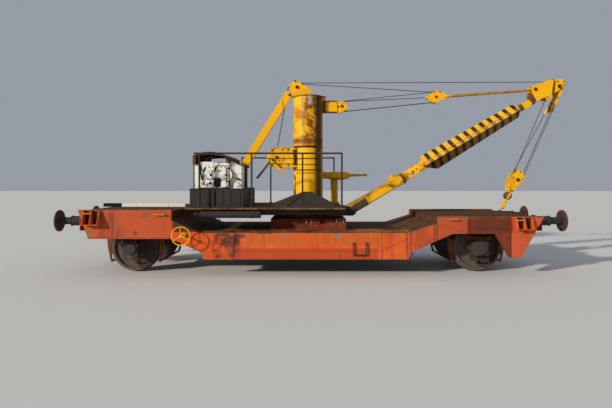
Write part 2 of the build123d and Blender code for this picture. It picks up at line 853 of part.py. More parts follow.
def luff_arm():
    """A box with wider top and bottom plates, slotted for its wheels, and an arrow-shaped cheek each side."""
    root = slew_x + column_d / 2 - 20
    low = arm_z + arm_rise[0]
    top = arm_z + arm_rise[1]
    pieces = [block(root, arm_end_x, -arm_cheek_y, arm_cheek_y, low, top)]
    for z in (low, top - arm_plate_t):
        pieces.append(block(root, arm_end_x, -arm_plate_y, arm_plate_y, z, z + arm_plate_t))
    inner_y = arm_cheek_y - arm_cheek_t
    slot = block(arm_pin_x - arm_sheave_d / 2 - arm_slot_gap, arm_end_x, -inner_y, inner_y, low, top)
    arm = fuse(pieces) - upright(slew_x, 0, low, top, column_d) - slot
    cheek = slab([(arm_pin_x + dx, arm_z + rise) for dx, rise in arm_arrow], -arm_cheek_y, -inner_y)
    pin = across(arm_pin_x, arm_z, 36, -arm_cheek_y - 12, arm_cheek_y + 12)
    return fuse([arm, pin] + both(cheek) + luff_wheels(arm_pin_x, arm_z, arm_sheave_d, 36))


keep("luff_arm", luff_arm())


# Engine on its panelled bed, with what is left of its hood

bed_x = (-2390, -1280)
bed_y = (-1120, 1000)
bed_top = 1740
# Each seam: x, width and depth
bed_seams = (
    (-2178, 12, 12), (-2014, 12, 12), (-1888, 36, 60), (-1705, 12, 12), (-1541, 12, 12), (-1356, 12, 12),
)


def engine_bed():
    """A panelled box with a lip along its top, notched round the backstay's pillar."""
    front = bed_y[0]
    body = block(*bed_x, *bed_y, platform_z, bed_top)
    body -= block(pillar_x[0] - 10, bed_x[1], -pillar_y - 20, pillar_y + 20, platform_z, bed_top)
    for x, w, depth in bed_seams:
        body -= block(x, x + w, front, front + depth, platform_z + 30, bed_top - 30)
    return fuse([body, block(*bed_x, front - 10, front, bed_top - 18, bed_top)])


keep("engine_bed", engine_bed())

engine_x = -1830
engine_y = (-900, 620)
crank_z = 1990
case_top = 2130
head_top = 2200
rocker_top = 2270
head_rows = ((-880, -400), (-380, 100), (120, 600))  # front and back of each cylinder head
cover_x = (-2210, -1560)
cover_y = -1030
cover_top = 2200
pulley_rows = ((-1961, 2020, 166), (-1649, 2020, 256))  # x, z and diameter
wing_x = (-2345, -1338)
wing_y = (-1010, -560)
wing_top = 2240
tray_x = (-1800, -1575)
tray_back_y = -640
tray_top = 2270
hose_box_end_x = -1810
hose_box_y = (-1000, -700)
hose_box_top = 2296


def crankcase():
    half = [(170, bed_top), (270, 1900), (270, 2100), (190, case_top)]
    right = [(engine_x + x, z) for x, z in half]
    left = [(engine_x - x, z) for x, z in reversed(half)]
    housing = across(engine_x, crank_z, 460, engine_y[1], engine_y[1] + 140)
    return [slab(right + left, *engine_y), housing]


def cylinder_head(y0, y1):
    """A head with a round-cornered rocker cover, and a stub of pipe on each side."""
    head = block(engine_x - 150, engine_x + 150, y0, y1, case_top, head_top)
    cover = block(engine_x - 105, engine_x + 105, y0 + 30, y1 - 30, head_top, rocker_top)
    cover = fillet(cover.edges().filter_by(Axis.Z), 40)
    return [head, cover, along(engine_x - 230, engine_x + 230, (y0 + y1) / 2, case_top + 35, 60)]


def manifolds():
    """A log of pipe along each side of the heads."""
    y0 = head_rows[0][0] + 80
    y1 = head_rows[-1][1] - 60
    return [across(engine_x + side * 230, case_top + 35, 84, y0, y1) for side in (-1, 1)]


def front_cover():
    """The cast front: leaning slots, a row of vents, the fan's hole, pulleys, a strap and two filters."""
    face = cover_y
    cover = block(*cover_x, face, engine_y[0], bed_top + 20, cover_top)
    for x, z in ((-2103, 2130), (-1885, 2145)):
        cover -= strip((x - 12, z - 32), (x + 12, z + 32), 38, face, face + 50)
    for i in range(4):
        x = -2152 + 36 * i
        cover -= strip((x, 1920), (x + 28, 2028), 12, face, face + 40)
    cover -= block(-1909, -1763, face, face + 80, 1771, 1958)
    pieces = [cover, across(-1972, 1848, 124, face - 40, face)]
    for x, z, d in pulley_rows:
        pieces.append(Pos(0, face - 38, 0) * sheave(x, z, d, 22, 50))
        pieces.append(across(x, z, 56, face - 72, face))
    pieces.append(block(-1710, -1650, face - 92, face - 80, 1771, 2176))
    pieces += [block(-1710, -1650, face - 80, face, z, z + 24) for z in (1771, 2152)]
    for x, z, r in ((-2147, 1862, 45), (-2054, 1834, 38)):
        pieces.append(Pos(x, face - 25, z) * Sphere(r))
    return pieces


def wings():
    """The plates each side of the cover, the tray on top and the box that the radiator hoses came to."""
    y0, y1 = wing_y
    x0, x1 = cover_x[1], wing_x[1]
    right = slab([(x0, bed_top), (x1, bed_top), (x1, 2200), (x1 - 30, 2210), (x0, 2300)], y0, y1)
    right -= slab([(x0, 1960), (x1, 1880), (x1, 1935), (x0, 2000)], y0, y0 + 60)
    rib = block(x0 + 10, x1 - 20, y0 - 12, y0, 2042, 2062)
    left = block(wing_x[0], cover_x[0], y0, y1, bed_top, wing_top)
    tray = block(*tray_x, cover_y - 10, tray_back_y, tray_top - 55, tray_top)
    hose_box = block(cover_x[0] + 10, hose_box_end_x, *hose_box_y, cover_top, hose_box_top)
    return [right, rib, left, tray, hose_box]


def engine():
    pieces = crankcase() + manifolds() + front_cover() + wings()
    for row in head_rows:
        pieces += cylinder_head(*row)
    return fuse(pieces)


keep("engine", engine())

hood_x = (-2335, -1590)
hood_top = 2500
hood_left_z = 2420
hood_right_z = 2390
hood_y = (-1090, 560)
hood_t = 14
hoop_t = 60
hoop_w = 30


def hood_line(inset):
    """Up the left leg, over the arch and down the right leg."""
    left, right = hood_x[0] + inset, hood_x[1] - inset
    top = (sum(hood_x) / 2, hood_top - inset)
    line = Line((left, wing_top), (left, hood_left_z)) + Line((right, hood_right_z), (right, tray_top))
    return line + ThreePointArc((left, hood_left_z), top, (right, hood_right_z))


def hood_arch(t, y0, y1):
    feet = Line((hood_x[0], wing_top), (hood_x[0] + t, wing_top))
    feet += Line((hood_x[1] - t, tray_top), (hood_x[1], tray_top))
    face = Plane.XZ * make_face(hood_line(0) + hood_line(t) + feet)
    return Pos(0, y1, 0) * extrude(face, amount=y1 - y0)


def hood():
    """A bent sheet with a deep hoop at its front edge, its middle and its back edge."""
    middle = sum(hood_y) / 2
    hoops = [hood_arch(hoop_t, y, y + hoop_w) for y in (hood_y[0], middle, hood_y[1] - hoop_w)]
    return fuse([hood_arch(hood_t, *hood_y)] + hoops)


keep("engine_hood", hood())


# Winch on a saddle at the column

winch_pin = (-650, 2423)
winch_r = 228
winch_half_w = 200
winch_cheek_t = 22
winch_right_x = -285
drum_d = 260
drum_flange_d = 400
saddle_y = 220
pinion_pin = (-779, 2355)
pinion_r = 53
crank_end = (-1082, 1969)
lever_run = ((-742, 2310), (-592, 2149), (-468, 2031))  # pin, where the grip starts and its end


def winch_drum():
    """The barrel with its flanges, and the bars that tie the cheeks together."""
    x, z = winch_pin
    y = winch_half_w
    pieces = [across(x, z, drum_d, -y, y)] + both(across(x, z, drum_flange_d, -y + 20, -y + 35))
    for tie in ((-110, 168), (130, 178), (250, -178), (250, 178)):
        pieces.append(across(x + tie[0], z + tie[1], 50, -y, y))
    return pieces


def winch_saddle():
    """Back plate, two shelves that fit the column and a web between them."""
    z0 = winch_pin[1] - winch_r
    z1 = winch_pin[1] + winch_r
    ring_fit = upright(slew_x, 0, z0, z1, column_d + 2 * (band_t + seat_gap))
    back = block(winch_right_x - 60, winch_right_x, -winch_half_w, winch_half_w, z0, z1)
    web = block(winch_right_x, slew_x, -160, 160, z0 + 50, z1 - 50)
    pieces = [back - ring_fit, web - ring_fit]
    for z in (z0 + 10, z1 - 50):
        shelf = block(winch_right_x - 40, slew_x, -saddle_y, saddle_y, z, z + 40)
        pieces.append(shelf - upright(slew_x, 0, z, z + 40, column_d + 0.02))
    return pieces


def winch_handles(y):
    """Pinion, crank and brake lever outside the near cheek, whose outer face is at y."""
    crank_y = y - 60
    lever_y = y - 94
    pin, grip, end = lever_run
    return [
        toothed(*pinion_pin, pinion_r, 12, y - 36, y),
        across(*pinion_pin, 40, crank_y - 14, y),
        strip(pinion_pin, crank_end, 46, crank_y - 10, crank_y + 10),
        across(*crank_end, 40, crank_y - 120, crank_y),
        across(*pin, 44, lever_y - 12, y),
        strip(pin, grip, 62, lever_y - 6, lever_y + 6),
        bar((grip[0], lever_y, grip[1]), (end[0], lever_y, end[1]), 40),
    ]


def winch():
    x, z = winch_pin
    z0 = z - winch_r
    z1 = z + winch_r
    edge = ThreePointArc((x, z1), (x - winch_r, z), (x, z0))
    edge += Polyline((x, z0), (winch_right_x, z0), (winch_right_x, z1), (x, z1))
    cheek = Pos(0, -winch_half_w, 0) * extrude(Plane.XZ * make_face(edge), amount=winch_cheek_t)
    handles = winch_handles(-winch_half_w - winch_cheek_t)
    return fuse(both(cheek) + winch_drum() + winch_saddle() + handles)


keep("winch", winch())


# Railings of plain tube

rail_d = 36
rail_y = 1270
# Each row: y, rail z, the rail's ends and the posts
rail_rows = {
    "near": (-rail_y, 2455, (-2270, 737), (-2160, -1100, -70, 725)),
    "far": (rail_y, 2490, (-1656, 728), (-1640, -900, -70, 715)),
}
for side, (y, rail_z, run, posts) in rail_rows.items():
    tubes = [along(*run, y, rail_z, rail_d)]
    for x in posts:
        tubes.append(upright(x, y, platform_z, rail_z, rail_d))
        tubes.append(upright(x, y, platform_z, platform_z + 12, 2 * rail_d - 12))
    keep("railing_" + side, fuse(tubes))


# Hand slewing pedestal with its lever

pedestal_x = 700
pedestal_y = 940
pedestal_post = ((0, 0), (140, 0), (140, 25), (89, 25), (89, 590), (0, 590))
pedestal_drum = ((0, 575), (150, 575), (300, 615), (312, 635), (312, 725), (296, 745), (280, 770), (0, 770))
drum_offset = 65
lever_z = 690


def pedestal():
    """A post on a foot plate, with a drum whose underside slopes, a stop at its left and a long lever."""
    drum_x = pedestal_x + drum_offset
    y = pedestal_y
    z = platform_z + lever_z
    root = (drum_x + 280, y - 60, z)
    tip = (1500, y - 130, z + 8)
    near_tip = (1430, y - 124, z + 8)
    pieces = [
        Pos(pedestal_x, y, platform_z) * turned(pedestal_post),
        Pos(drum_x, y, platform_z) * turned(pedestal_drum),
        block(drum_x - 380, drum_x - 290, y - 60, y + 60, z - 80, z + 90),
        block(drum_x + 260, drum_x + 320, y - 105, y - 15, z - 50, z + 40),
        taper(root, near_tip, 76, 48),
        bar(near_tip, tip, 60),
    ]
    return fuse(pieces)


keep("slew_pedestal", pedestal())


# Boom foot brackets at the platform's end

foot_half_w = boom_half_w + bracket_gap


def foot_brackets():
    x, z = boom_foot
    low = ring_top_z - 15
    points = [(platform_right_x, low), (x + 60, low), (x + 130, z - 60), (x + 130, z + 40), (x + 60, z + 85),
              (platform_right_x, platform_z)]
    near = slab(points, -foot_half_w - bracket_t, -foot_half_w)
    pin = across(x, z, boom_pin_d, -foot_half_w - bracket_t - 25, foot_half_w + bracket_t + 25)
    back = block(platform_right_x, platform_right_x + 12, -foot_half_w, foot_half_w, low, platform_z - 20)
    return fuse([near, mirror(near, about=Plane.XZ), pin, back])


keep("boom_brackets", foot_brackets())


# Boom: built along +X from the foot pin, then turned up to its slope

boom_place = Location((boom_foot[0], 0, boom_foot[1]), (0, -boom_slope, 0))
middle_u = (1800, 4700)
joint_u = 1400
neck_u = (4380, 4870)
neck_half_w = 75

# Sections of the lower boom: u, half width, v of the bottom, of the side's top and of the flat top, half flat
foot_half = boom_half_w - 14
lower_rows = (
    (-80, foot_half, -92, 80, 148, 62),
    (430, foot_half, -96, 78, 132, 62),
    (500, boom_half_w, -92, 74, 128, 70),
    (joint_u, boom_half_w, -84, 65, 118, 70),
)
upper_rows = ((joint_u, 110, -72, 40, 135, 50), (2120, 110, -56, 45, 148, 50))
neck_rows = ((neck_u[0], neck_half_w, -40, 80, 110, 40), (neck_u[1], neck_half_w, -38, 80, 110, 40))


def boom_section(u, half_w, v_low, v_side, v_top, flat):
    """A six-sided section: upright sides, and chamfers up to a flat top."""
    right = [(half_w, v_low), (half_w, v_side), (flat, v_top)]
    points = right + [(-y, v) for y, v in reversed(right)]
    face = make_face(Polyline(*points, close=True))
    return Plane(origin=(u, 0, 0), x_dir=(0, 1, 0), z_dir=(1, 0, 0)) * face


def diamond(u, half, mid, up, down):
    """A four-sided section that stands on its edge."""
    face = make_face(Polyline((0, mid + up), (-half, mid), (0, mid - down), (half, mid), close=True))
    return Plane(origin=(u, 0, 0), x_dir=(0, 1, 0), z_dir=(1, 0, 0)) * face


def boom_middle():
    """A long diamond box, cut back at both ends as its side plates are."""
    body = loft([diamond(middle_u[0], 232, 28, 224, 246), diamond(middle_u[1], 168, 24, 174, 142)])
    side = [
        (2030, 250), (4390, 215), (4480, 150), (4440, -60), (4400, -135), (2240, -215), (1945, 10), (1990, 130),
    ]
    return body & slab(side, -300, 300)


middle = boom_middle()
lug_points = ((1120, 100), (1130, 215), (1200, 225), (1370, 150), (1380, 100))
lug_holes = ((1160, 185), (1240, 165))


def boom_lug():
    """One of a pair of plates on the boom's back, with two pin holes."""
    lug = slab(lug_points, -56, -44)
    for u, v in lug_holes:
        lug -= across(u, v, 44, -56, -44)
    return lug


def boom_lower():
    """Foot with its bosses and side plates, a bolted joint and the part that runs into the middle."""
    pieces = [loft([boom_section(*row) for row in rows], ruled=True) for rows in (lower_rows, upper_rows)]
    pieces.append(across(0, 0, 130, -boom_half_w, boom_half_w))
    pieces.append(block(110, 430, -foot_half - 10, foot_half + 10, -86, 72))
    for u in (joint_u - 20, joint_u + 6):
        pieces.append(block(u, u + 14, -boom_half_w - 10, boom_half_w + 10, -100, 140))
    body = fuse(pieces + both(boom_lug()))
    for u, v, d in ((0, 0, boom_pin_d + 2 * pin_gap), (1660, 22, 100), (1778, 53, 38)):
        body -= across(u, v, d, -boom_half_w, boom_half_w)
    return body - middle


keep("boom_lower", boom_place * boom_lower())
keep("boom_middle", boom_place * middle)


# Boom head: side cheeks, and an open nose of flat bars that carries the rope wheels

cheek_t = 22
head_cheek_points = (
    (5106, 4013), (5136, 4051), (5398, 4146), (5511, 4187), (5600, 4190), (5606, 4147), (5552, 3800),
    (5560, 3745), (5430, 3750), (5430, 3800), (5292, 3737), (5190, 3690), (5136, 3794),
)
head_web_points = (
    (5110, 3640), (5200, 3690), (5292, 3737), (5420, 3795), (5420, 3960), (5200, 3880), (5110, 3850),
)
nose_t = 18
nose_points = ((5480, 3830), (5590, 3860), (head_end_x, 4060), (5844, 4205), (5540, 4205), (5480, 4180))
nose_window = ((5622, 4160), (5752, 4168), (5612, 3950))

# Places beside the falls: across them, and up along them from the block's pin
guard_run = ((84, 1760), (95, 2340))
guard_bolt = (84, 1780)
guard_w = 56
guard_t = 12
anchor = (78, 2150)
socket_top = (20, 1740)
socket_end = (14, 1645)


def on_falls(x, w):
    """A place in X and Z from one beside the falls."""
    place = (Location((block_pin[0], 0, block_pin[1]), (0, fall_lean, 0)) * Pos(x, 0, w)).position
    return place.X, place.Z


def boom_neck():
    return loft([boom_section(*row) for row in neck_rows]) - middle


def rope_anchor(nose_y):
    """A link from a lug on the far nose plate, with the socket of the rope's dead end at its foot."""
    pin = on_falls(*anchor)
    top = on_falls(*socket_top)
    end = on_falls(*socket_end)
    return [
        strip(pin, hoist_pin, 90, nose_y, nose_y + nose_t),
        across(*pin, 40, fall_y - 20, nose_y + nose_t + 4),
        strip(top, pin, 46, fall_y - 12, fall_y + 12),
        taper((top[0], fall_y, top[1]), (end[0], fall_y, end[1]), 66, 30),
    ]


def rope_guards(nose_y):
    """Flat bars down both sides of the falls from the nose, with a bolt across them at the foot."""
    run = [on_falls(*place) for place in guard_run]
    guards = both(strip(*run, guard_w, -nose_y, -nose_y + guard_t))
    return guards + [across(*on_falls(*guard_bolt), 24, -nose_y, nose_y)]


def boom_head():
    y0 = head_half_w - cheek_t
    nose_y = y0 - nose_t
    pieces = [boom_place * boom_neck(), slab(head_web_points, -y0, y0)]
    pieces += both(slab(head_cheek_points, -head_half_w, -y0))
    pieces += both(slab(nose_points, -y0, -nose_y) - slab(nose_window, -y0, -nose_y))
    pieces += [Pos(0, y, 0) * sheave(*hoist_pin, hoist_sheave_d, 30, 60) for y in (-fall_y, fall_y)]
    pieces.append(across(*hoist_pin, 60, -y0 - 20, y0 + 20))
    pieces.append(across(*luff_pin, luff_pin_d, -head_half_w - 18, head_half_w + 18))
    return fuse(pieces + rope_anchor(nose_y) + rope_guards(nose_y))


keep("boom_head", boom_head())

# Luffing block, as X and Z from its pin, and the pendant rod from it to the boom's head
luff_cheek = ((-228, -4), (-42, 128), (97, 128), (295, 30), (295, -10), (-30, -156))
luff_cheek_y = (35, 60)
becket = (-162, -8)
becket_l = 72
fork_pin = (264, 19)


def becket_line():
    """The dead-end pin of the luffing block, and the way from it to the top of the arm's far wheel."""
    pin = Vector(luff_block_pin[0] + becket[0], luff_sheave_y, luff_block_pin[1] + becket[1])
    wheel_top = Vector(arm_pin_x, luff_sheave_y, arm_z + rope_reach(arm_sheave_d))
    return pin, wheel_top, (wheel_top - pin).normalized()


def luff_tackle():
    """Two cheeks round two wheels, the dead end's socket, and a tapered rod to the boom's pin."""
    x, z = luff_block_pin
    y0, y1 = luff_cheek_y
    near = slab([(x + dx, z + dz) for dx, dz in luff_cheek], -y1, -y0)
    fork_x, fork_z = x + fork_pin[0], z + fork_pin[1]
    becket_at, _, way = becket_line()
    pins = [
        across(x, z, 40, -y1 - 18, y1 + 18),
        across(becket_at.X, becket_at.Z, 36, -y1 - 10, y1 + 10),
        across(fork_x, fork_z, 40, -y1 - 18, y1 + 18),
    ]
    socket = taper(becket_at, becket_at + way * becket_l, 30, 24)
    rod = taper((fork_x, 0, fork_z), (luff_pin[0] - 42, 0, luff_pin[1] - 3), 64, 54)
    eye = across(*luff_pin, 110, -26, 26) - across(*luff_pin, luff_pin_d + 2 * pin_gap, -26, 26)
    return fuse(both(near) + luff_wheels(x, z, luff_sheave_d, 40) + pins + [socket, rod, eye])


keep("luff_tackle", luff_tackle())


# Taut ropes from the column to the boom

def luffing_ropes():
    """Two falls round the near wheels, the lead down from the head and the rope's dead end."""
    x, z = luff_block_pin
    arm = (arm_pin_x, -luff_sheave_y, arm_z)
    block_near = (x, -luff_sheave_y, z)
    falls = [rope_run(arm, arm_sheave_d, block_near, luff_sheave_d, side) for side in (-1, 1)]
    head = (head_pin[0], head_sheave_y, head_pin[1])
    falls.append(rope_run(head, head_sheave_d, (x, luff_sheave_y, z), luff_sheave_d, 1))
    pin, wheel_top, way = becket_line()
    falls.append(bar(wheel_top, pin + way * (becket_l + seat_gap), rope_d))
    return falls


def hoist_lead():
    """The hoist rope from the column's head to the boom's head."""
    head = (head_pin[0], -head_sheave_y, head_pin[1])
    return rope_run(head, head_sheave_d, (hoist_pin[0], -fall_y, hoist_pin[1]), hoist_sheave_d, 1)


keep("luffing_ropes", luffing_ropes())
keep("hoist_lead", hoist_lead())


# Hook block in its own frame, with Z up along the falls

block_place = Location((block_pin[0], 0, block_pin[1]), (0, fall_lean, 0))
block_foot = -300
block_cheek = (
    (-60, 225), (40, 225), (125, 110), (130, 20), (60, -140), (25, block_foot), (-80, block_foot),
    (-140, -190), (-155, -60), (-140, 90),
)
block_round = 18
crosshead_x = (-70, 20)
crosshead_h = 50
hook_x = -20
shank_d = 50
shank_end = -570
weight_z = -411
weight_d = 187
bowl_at = (8, -640)
bowl_d = 96
bowl_out_d = 200
hook_t = 48
mouth_y = (30, 130)
mouth_z = (-634, -570)


def hook_block():
    """Two round-cornered cheeks, two rope wheels and the crosshead that carries the hook."""
    cheek = slab(block_cheek, -block_half_w, -block_half_w + block_cheek_t)
    cheek = fillet(cheek.edges().filter_by(Axis.Y), block_round)
    wheels = [Pos(0, y, 0) * sheave(0, 0, hoist_sheave_d, 30, 50) for y in (-fall_y, fall_y)]
    pin = across(0, 0, 50, -block_half_w - 20, block_half_w + 20)
    crosshead = block(*crosshead_x, -block_half_w, block_half_w, block_foot, block_foot + crosshead_h)
    return fuse(both(cheek) + [pin, crosshead] + wheels)


def crane_hook():
    """A round weight on the shank, and a hook that opens to the far side."""
    shank = upright(hook_x, 0, shank_end, block_foot, shank_d)
    weight = Pos(hook_x, 0, weight_z) * Sphere(weight_d / 2)
    at_bowl = Pos(hook_x, *bowl_at) * Rot(0, 90, 0)
    ring = at_bowl * Cylinder(bowl_out_d / 2, hook_t) - at_bowl * Cylinder(bowl_d / 2, hook_t)
    mouth = block(hook_x - hook_t, hook_x + hook_t, *mouth_y, *mouth_z)
    return fuse([shank, weight, ring - mouth])


def hoist_falls():
    """The taut falls between the head's rope wheels and the block's, but for the one with the dead end."""
    reach = rope_reach(hoist_sheave_d)
    places = ((-reach, -fall_y), (reach, -fall_y), (reach, fall_y))
    return [block_place * bar((x, y, 0), (x, y, fall_l), rope_d) for x, y in places]


keep("hook_block", block_place * hook_block())
keep("crane_hook", block_place * crane_hook())
keep("hoist_falls", hoist_falls())


os.makedirs("parts", exist_ok=True)
for name, pieces in nodes.items():
    placed = [origin * piece for piece in pieces]
    solids = [solid for piece in placed for solid in piece.solids()]
    export_step(solids[0] if len(solids) == 1 else Compound(children=solids), "parts/" + name + ".step")
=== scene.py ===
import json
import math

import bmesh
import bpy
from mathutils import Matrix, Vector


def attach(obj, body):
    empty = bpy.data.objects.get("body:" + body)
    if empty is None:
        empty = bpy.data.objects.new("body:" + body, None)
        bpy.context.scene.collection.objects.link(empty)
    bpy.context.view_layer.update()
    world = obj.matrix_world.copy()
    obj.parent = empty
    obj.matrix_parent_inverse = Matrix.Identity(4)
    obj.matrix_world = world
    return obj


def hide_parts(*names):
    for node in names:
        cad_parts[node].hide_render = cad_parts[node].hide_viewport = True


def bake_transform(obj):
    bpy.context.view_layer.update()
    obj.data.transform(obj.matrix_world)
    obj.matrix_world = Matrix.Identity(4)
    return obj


bl_info = {
    "name": "Railway Crane Car Finish",
    "version": (1, 0, 0),
    "blender": (4, 5, 0),
    "location": "3D View > Sidebar > Crane Car",
    "description": "Paint, rust, ropes and small fittings for a railway crane car",
    "category": "Object",
}

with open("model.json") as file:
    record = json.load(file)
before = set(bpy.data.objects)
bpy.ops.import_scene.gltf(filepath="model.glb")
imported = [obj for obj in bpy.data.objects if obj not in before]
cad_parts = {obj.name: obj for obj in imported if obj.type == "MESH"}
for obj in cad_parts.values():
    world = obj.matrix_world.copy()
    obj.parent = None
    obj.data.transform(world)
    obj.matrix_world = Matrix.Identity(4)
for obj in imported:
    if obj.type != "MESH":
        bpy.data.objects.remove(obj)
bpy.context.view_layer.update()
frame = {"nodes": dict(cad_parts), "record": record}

# Places in the wagon's own drawing: millimetres, X from the photograph's middle and Z from the rail top.
# The frame has its origin under the middle of the whole length, at the wheel flanges' tips.
FRAME_X = 340
FLANGE_H = 28

BOOM_FOOT = (1000, 1225)
BOOM_SLOPE = math.radians(30.5)
HOIST_PIN = (5740, 4040)
FALL_LEAN = math.radians(24)
FALL_L = 2314
FALL_Y = 45
HEAD_PIN = (-206, 4027)
ROLLER = (-368, 4058)
HEAD_Y = 36
ARM_PIN = (815, 3600)
TACKLE_PIN = (2955, 3815)
LUFF_Y = 16
BECKET = (2793, 3807)
SOCKET_L = 73
WINCH_PIN = (-650, 2423)
DRUM_R = 130
DRUM_HALF_W = 163
LUFF_PIN = (5185, 3975)
DEAD_END = (14, 1645)

# From each wheel's pin to the middle of the rope in its groove
HEAD_REACH = 105.1
ARM_REACH = 118.3
SHEAVE_R = 113.9
ROLLER_REACH = 36

# From the drum's pin to where the ropes leave it, and the low places between a rope's strands
DRUM_LEAD = 22
ROPE_LOBE = 0.88

AXLE_X = 3620
WHEEL_R = 500
BOX_FACE_Y = 1128
BOX_BOLTS_R = 92
BUFFER_Y = 875
BUFFER_Z = 1060
BUFFER_MID_X = 100
# From the middle between the buffers to the back of their heads
BUFFER_REACH = 5270
BEAD_Y = 1381
NEAR = Vector((0, -1, 0))


def at(x, y, z):
    """A point of the wagon's drawing as a place in the frame, in metres."""
    return Vector(((x - FRAME_X) / 1000, y / 1000, (z + FLANGE_H) / 1000))


def on_block(x, w, y=0):
    """A point of the hook block, w up along the falls from its pin."""
    c, s = math.cos(FALL_LEAN), math.sin(FALL_LEAN)
    pin_x = HOIST_PIN[0] - FALL_L * s
    pin_z = HOIST_PIN[1] - FALL_L * c
    return at(pin_x + x * c + w * s, y, pin_z - x * s + w * c)


# Settings that a user would change

class StageSettings(bpy.types.PropertyGroup):
    camera_distance: bpy.props.FloatProperty(
        name="Camera distance", description="From the wagon's middle line to the camera",
        default=10.9, unit="LENGTH")
    camera_height: bpy.props.FloatProperty(
        name="Camera height", description="Above the rail top", default=1.875, unit="LENGTH")
    lens: bpy.props.FloatProperty(
        name="Lens", description="Focal length for a 36 mm wide frame", default=28.0)
    shift_y: bpy.props.FloatProperty(
        name="Shift", description="Lens shift that puts the horizon above the middle", default=-0.036)
    sun_elevation: bpy.props.FloatProperty(
        name="Key height", description="Angle of the key light above the floor",
        default=math.radians(19.5), subtype="ANGLE")
    sun_turn: bpy.props.FloatProperty(
        name="Key turn", description="Angle of the key light left of the view axis",
        default=math.radians(52.5), subtype="ANGLE")
    key_strength: bpy.props.FloatProperty(
        name="Key strength", description="Strength of the key light", default=3.5)
    fill_strength: bpy.props.FloatProperty(
        name="Fill strength", description="Strength of the light from all round", default=0.38)
    floor_colour: bpy.props.FloatVectorProperty(
        name="Floor colour", description="Colour of the studio floor", subtype="COLOR", size=3,
        default=(0.70, 0.69, 0.67))


class PaintSettings(bpy.types.PropertyGroup):
    orange: bpy.props.FloatVectorProperty(
        name="Side paint", description="Orange-red paint of the wagon's sides", subtype="COLOR", size=3,
        default=(0.66, 0.100, 0.016))
    yellow: bpy.props.FloatVectorProperty(
        name="Crane paint", description="Yellow paint of the crane", subtype="COLOR", size=3,
        default=(0.88, 0.44, 0.002))
    white: bpy.props.FloatVectorProperty(
        name="Engine paint", description="Dirty white paint of the engine", subtype="COLOR", size=3,
        default=(0.79, 0.76, 0.70))
    dark: bpy.props.FloatVectorProperty(
        name="Dark paint", description="Dark grey paint of frames and housings", subtype="COLOR", size=3,
        default=(0.028, 0.026, 0.026))
    rust: bpy.props.FloatVectorProperty(
        name="Rust", description="Light rust", subtype="COLOR", size=3, default=(0.20, 0.062, 0.020))
    old_rust: bpy.props.FloatVectorProperty(
        name="Old rust", description="Dark old rust", subtype="COLOR", size=3, default=(0.052, 0.024, 0.014))
    stripe_pitch: bpy.props.FloatProperty(
        name="Stripe pitch", description="Length of one black and one yellow stripe along the boom",
        default=0.205, unit="LENGTH")


class RopeSettings(bpy.types.PropertyGroup):
    rope_d: bpy.props.FloatProperty(
        name="Rope diameter", description="Diameter of the wire ropes", default=0.016, unit="LENGTH")
    lay: bpy.props.FloatProperty(
        name="Lay", description="Length of one turn of a strand", default=0.11, unit="LENGTH")
    strands: bpy.props.IntProperty(name="Strands", description="Strands in a rope", default=6)


# Shader nodes

def node(tree, kind, inputs=None, **settings):
    """A node with its settings and its inputs, each a value or the socket that feeds it."""
    made = tree.nodes.new(kind)
    for name, value in settings.items():
        setattr(made, name, value)
    for name, value in (inputs or {}).items():
        if isinstance(value, bpy.types.NodeSocket):
            tree.links.new(value, made.inputs[name])
        else:
            made.inputs[name].default_value = value
    return made


def maths(operation, a, b=0.0, c=0.0, clamp=False):
    """A value worked out from others, at least one of them a socket, whose tree the node goes into."""
    tree = next(value.id_data for value in (a, b, c) if isinstance(value, bpy.types.NodeSocket))
    return node(tree, "ShaderNodeMath", {0: a, 1: b, 2: c}, operation=operation, use_clamp=clamp).outputs[0]


def times(a, b):
    return maths("MULTIPLY", a, b)


def plus(a, b):
    return maths("ADD", a, b)


def less(a, b):
    return maths("SUBTRACT", a, b)


def mixed(factor, a, b):
    inputs = {0: factor, 6: a, 7: b}
    return node(factor.id_data, "ShaderNodeMix", inputs, data_type="RGBA").outputs[2]


def noise(place, scale, detail=6.0, **more):
    inputs = {"Vector": place, "Scale": scale, "Detail": detail, **more}
    return node(place.id_data, "ShaderNodeTexNoise", inputs).outputs[0]


def rgba(colour):
    return (*colour, 1.0)


def ramped(value, low, high):
    """0 below low, 1 above high."""
    inputs = {0: value, 1: low, 2: high}
    made = node(value.id_data, "ShaderNodeMapRange", inputs, interpolation_type="SMOOTHSTEP")
    return made.outputs[0]


SOCKET_KINDS = {"Color": "NodeSocketColor", "Vector": "NodeSocketVector", "Normal": "NodeSocketVector"}


def group(name, outputs=("Mask",), **inputs):
    """An empty node group with its named sockets, and its input and output nodes."""
    tree = bpy.data.node_groups.new(name, "ShaderNodeTree")
    for way, labels in (("INPUT", inputs), ("OUTPUT", outputs)):
        for label in labels:
            kind = SOCKET_KINDS.get(label, "NodeSocketFloat")
            socket = tree.interface.new_socket(label.replace("_", " "), in_out=way, socket_type=kind)
            if way == "INPUT" and inputs[label] is not None:
                socket.default_value = inputs[label]
    return tree, tree.nodes.new("NodeGroupInput").outputs, tree.nodes.new("NodeGroupOutput").inputs


def make_patches():
    """Ragged patches, as where paint has flaked off."""
    tree, ins, outs = group("Flaked patches", Vector=None, Scale=3.0, Amount=0.3, Softness=0.04)
    ragged = noise(ins["Vector"], ins["Scale"], 9.0, Roughness=0.68, Distortion=0.4)
    level = maths("MULTIPLY_ADD", less(1.0, ins["Amount"]), 0.5, 0.25)
    tree.links.new(ramped(ragged, level, plus(level, ins["Softness"])), outs["Mask"])
    return tree


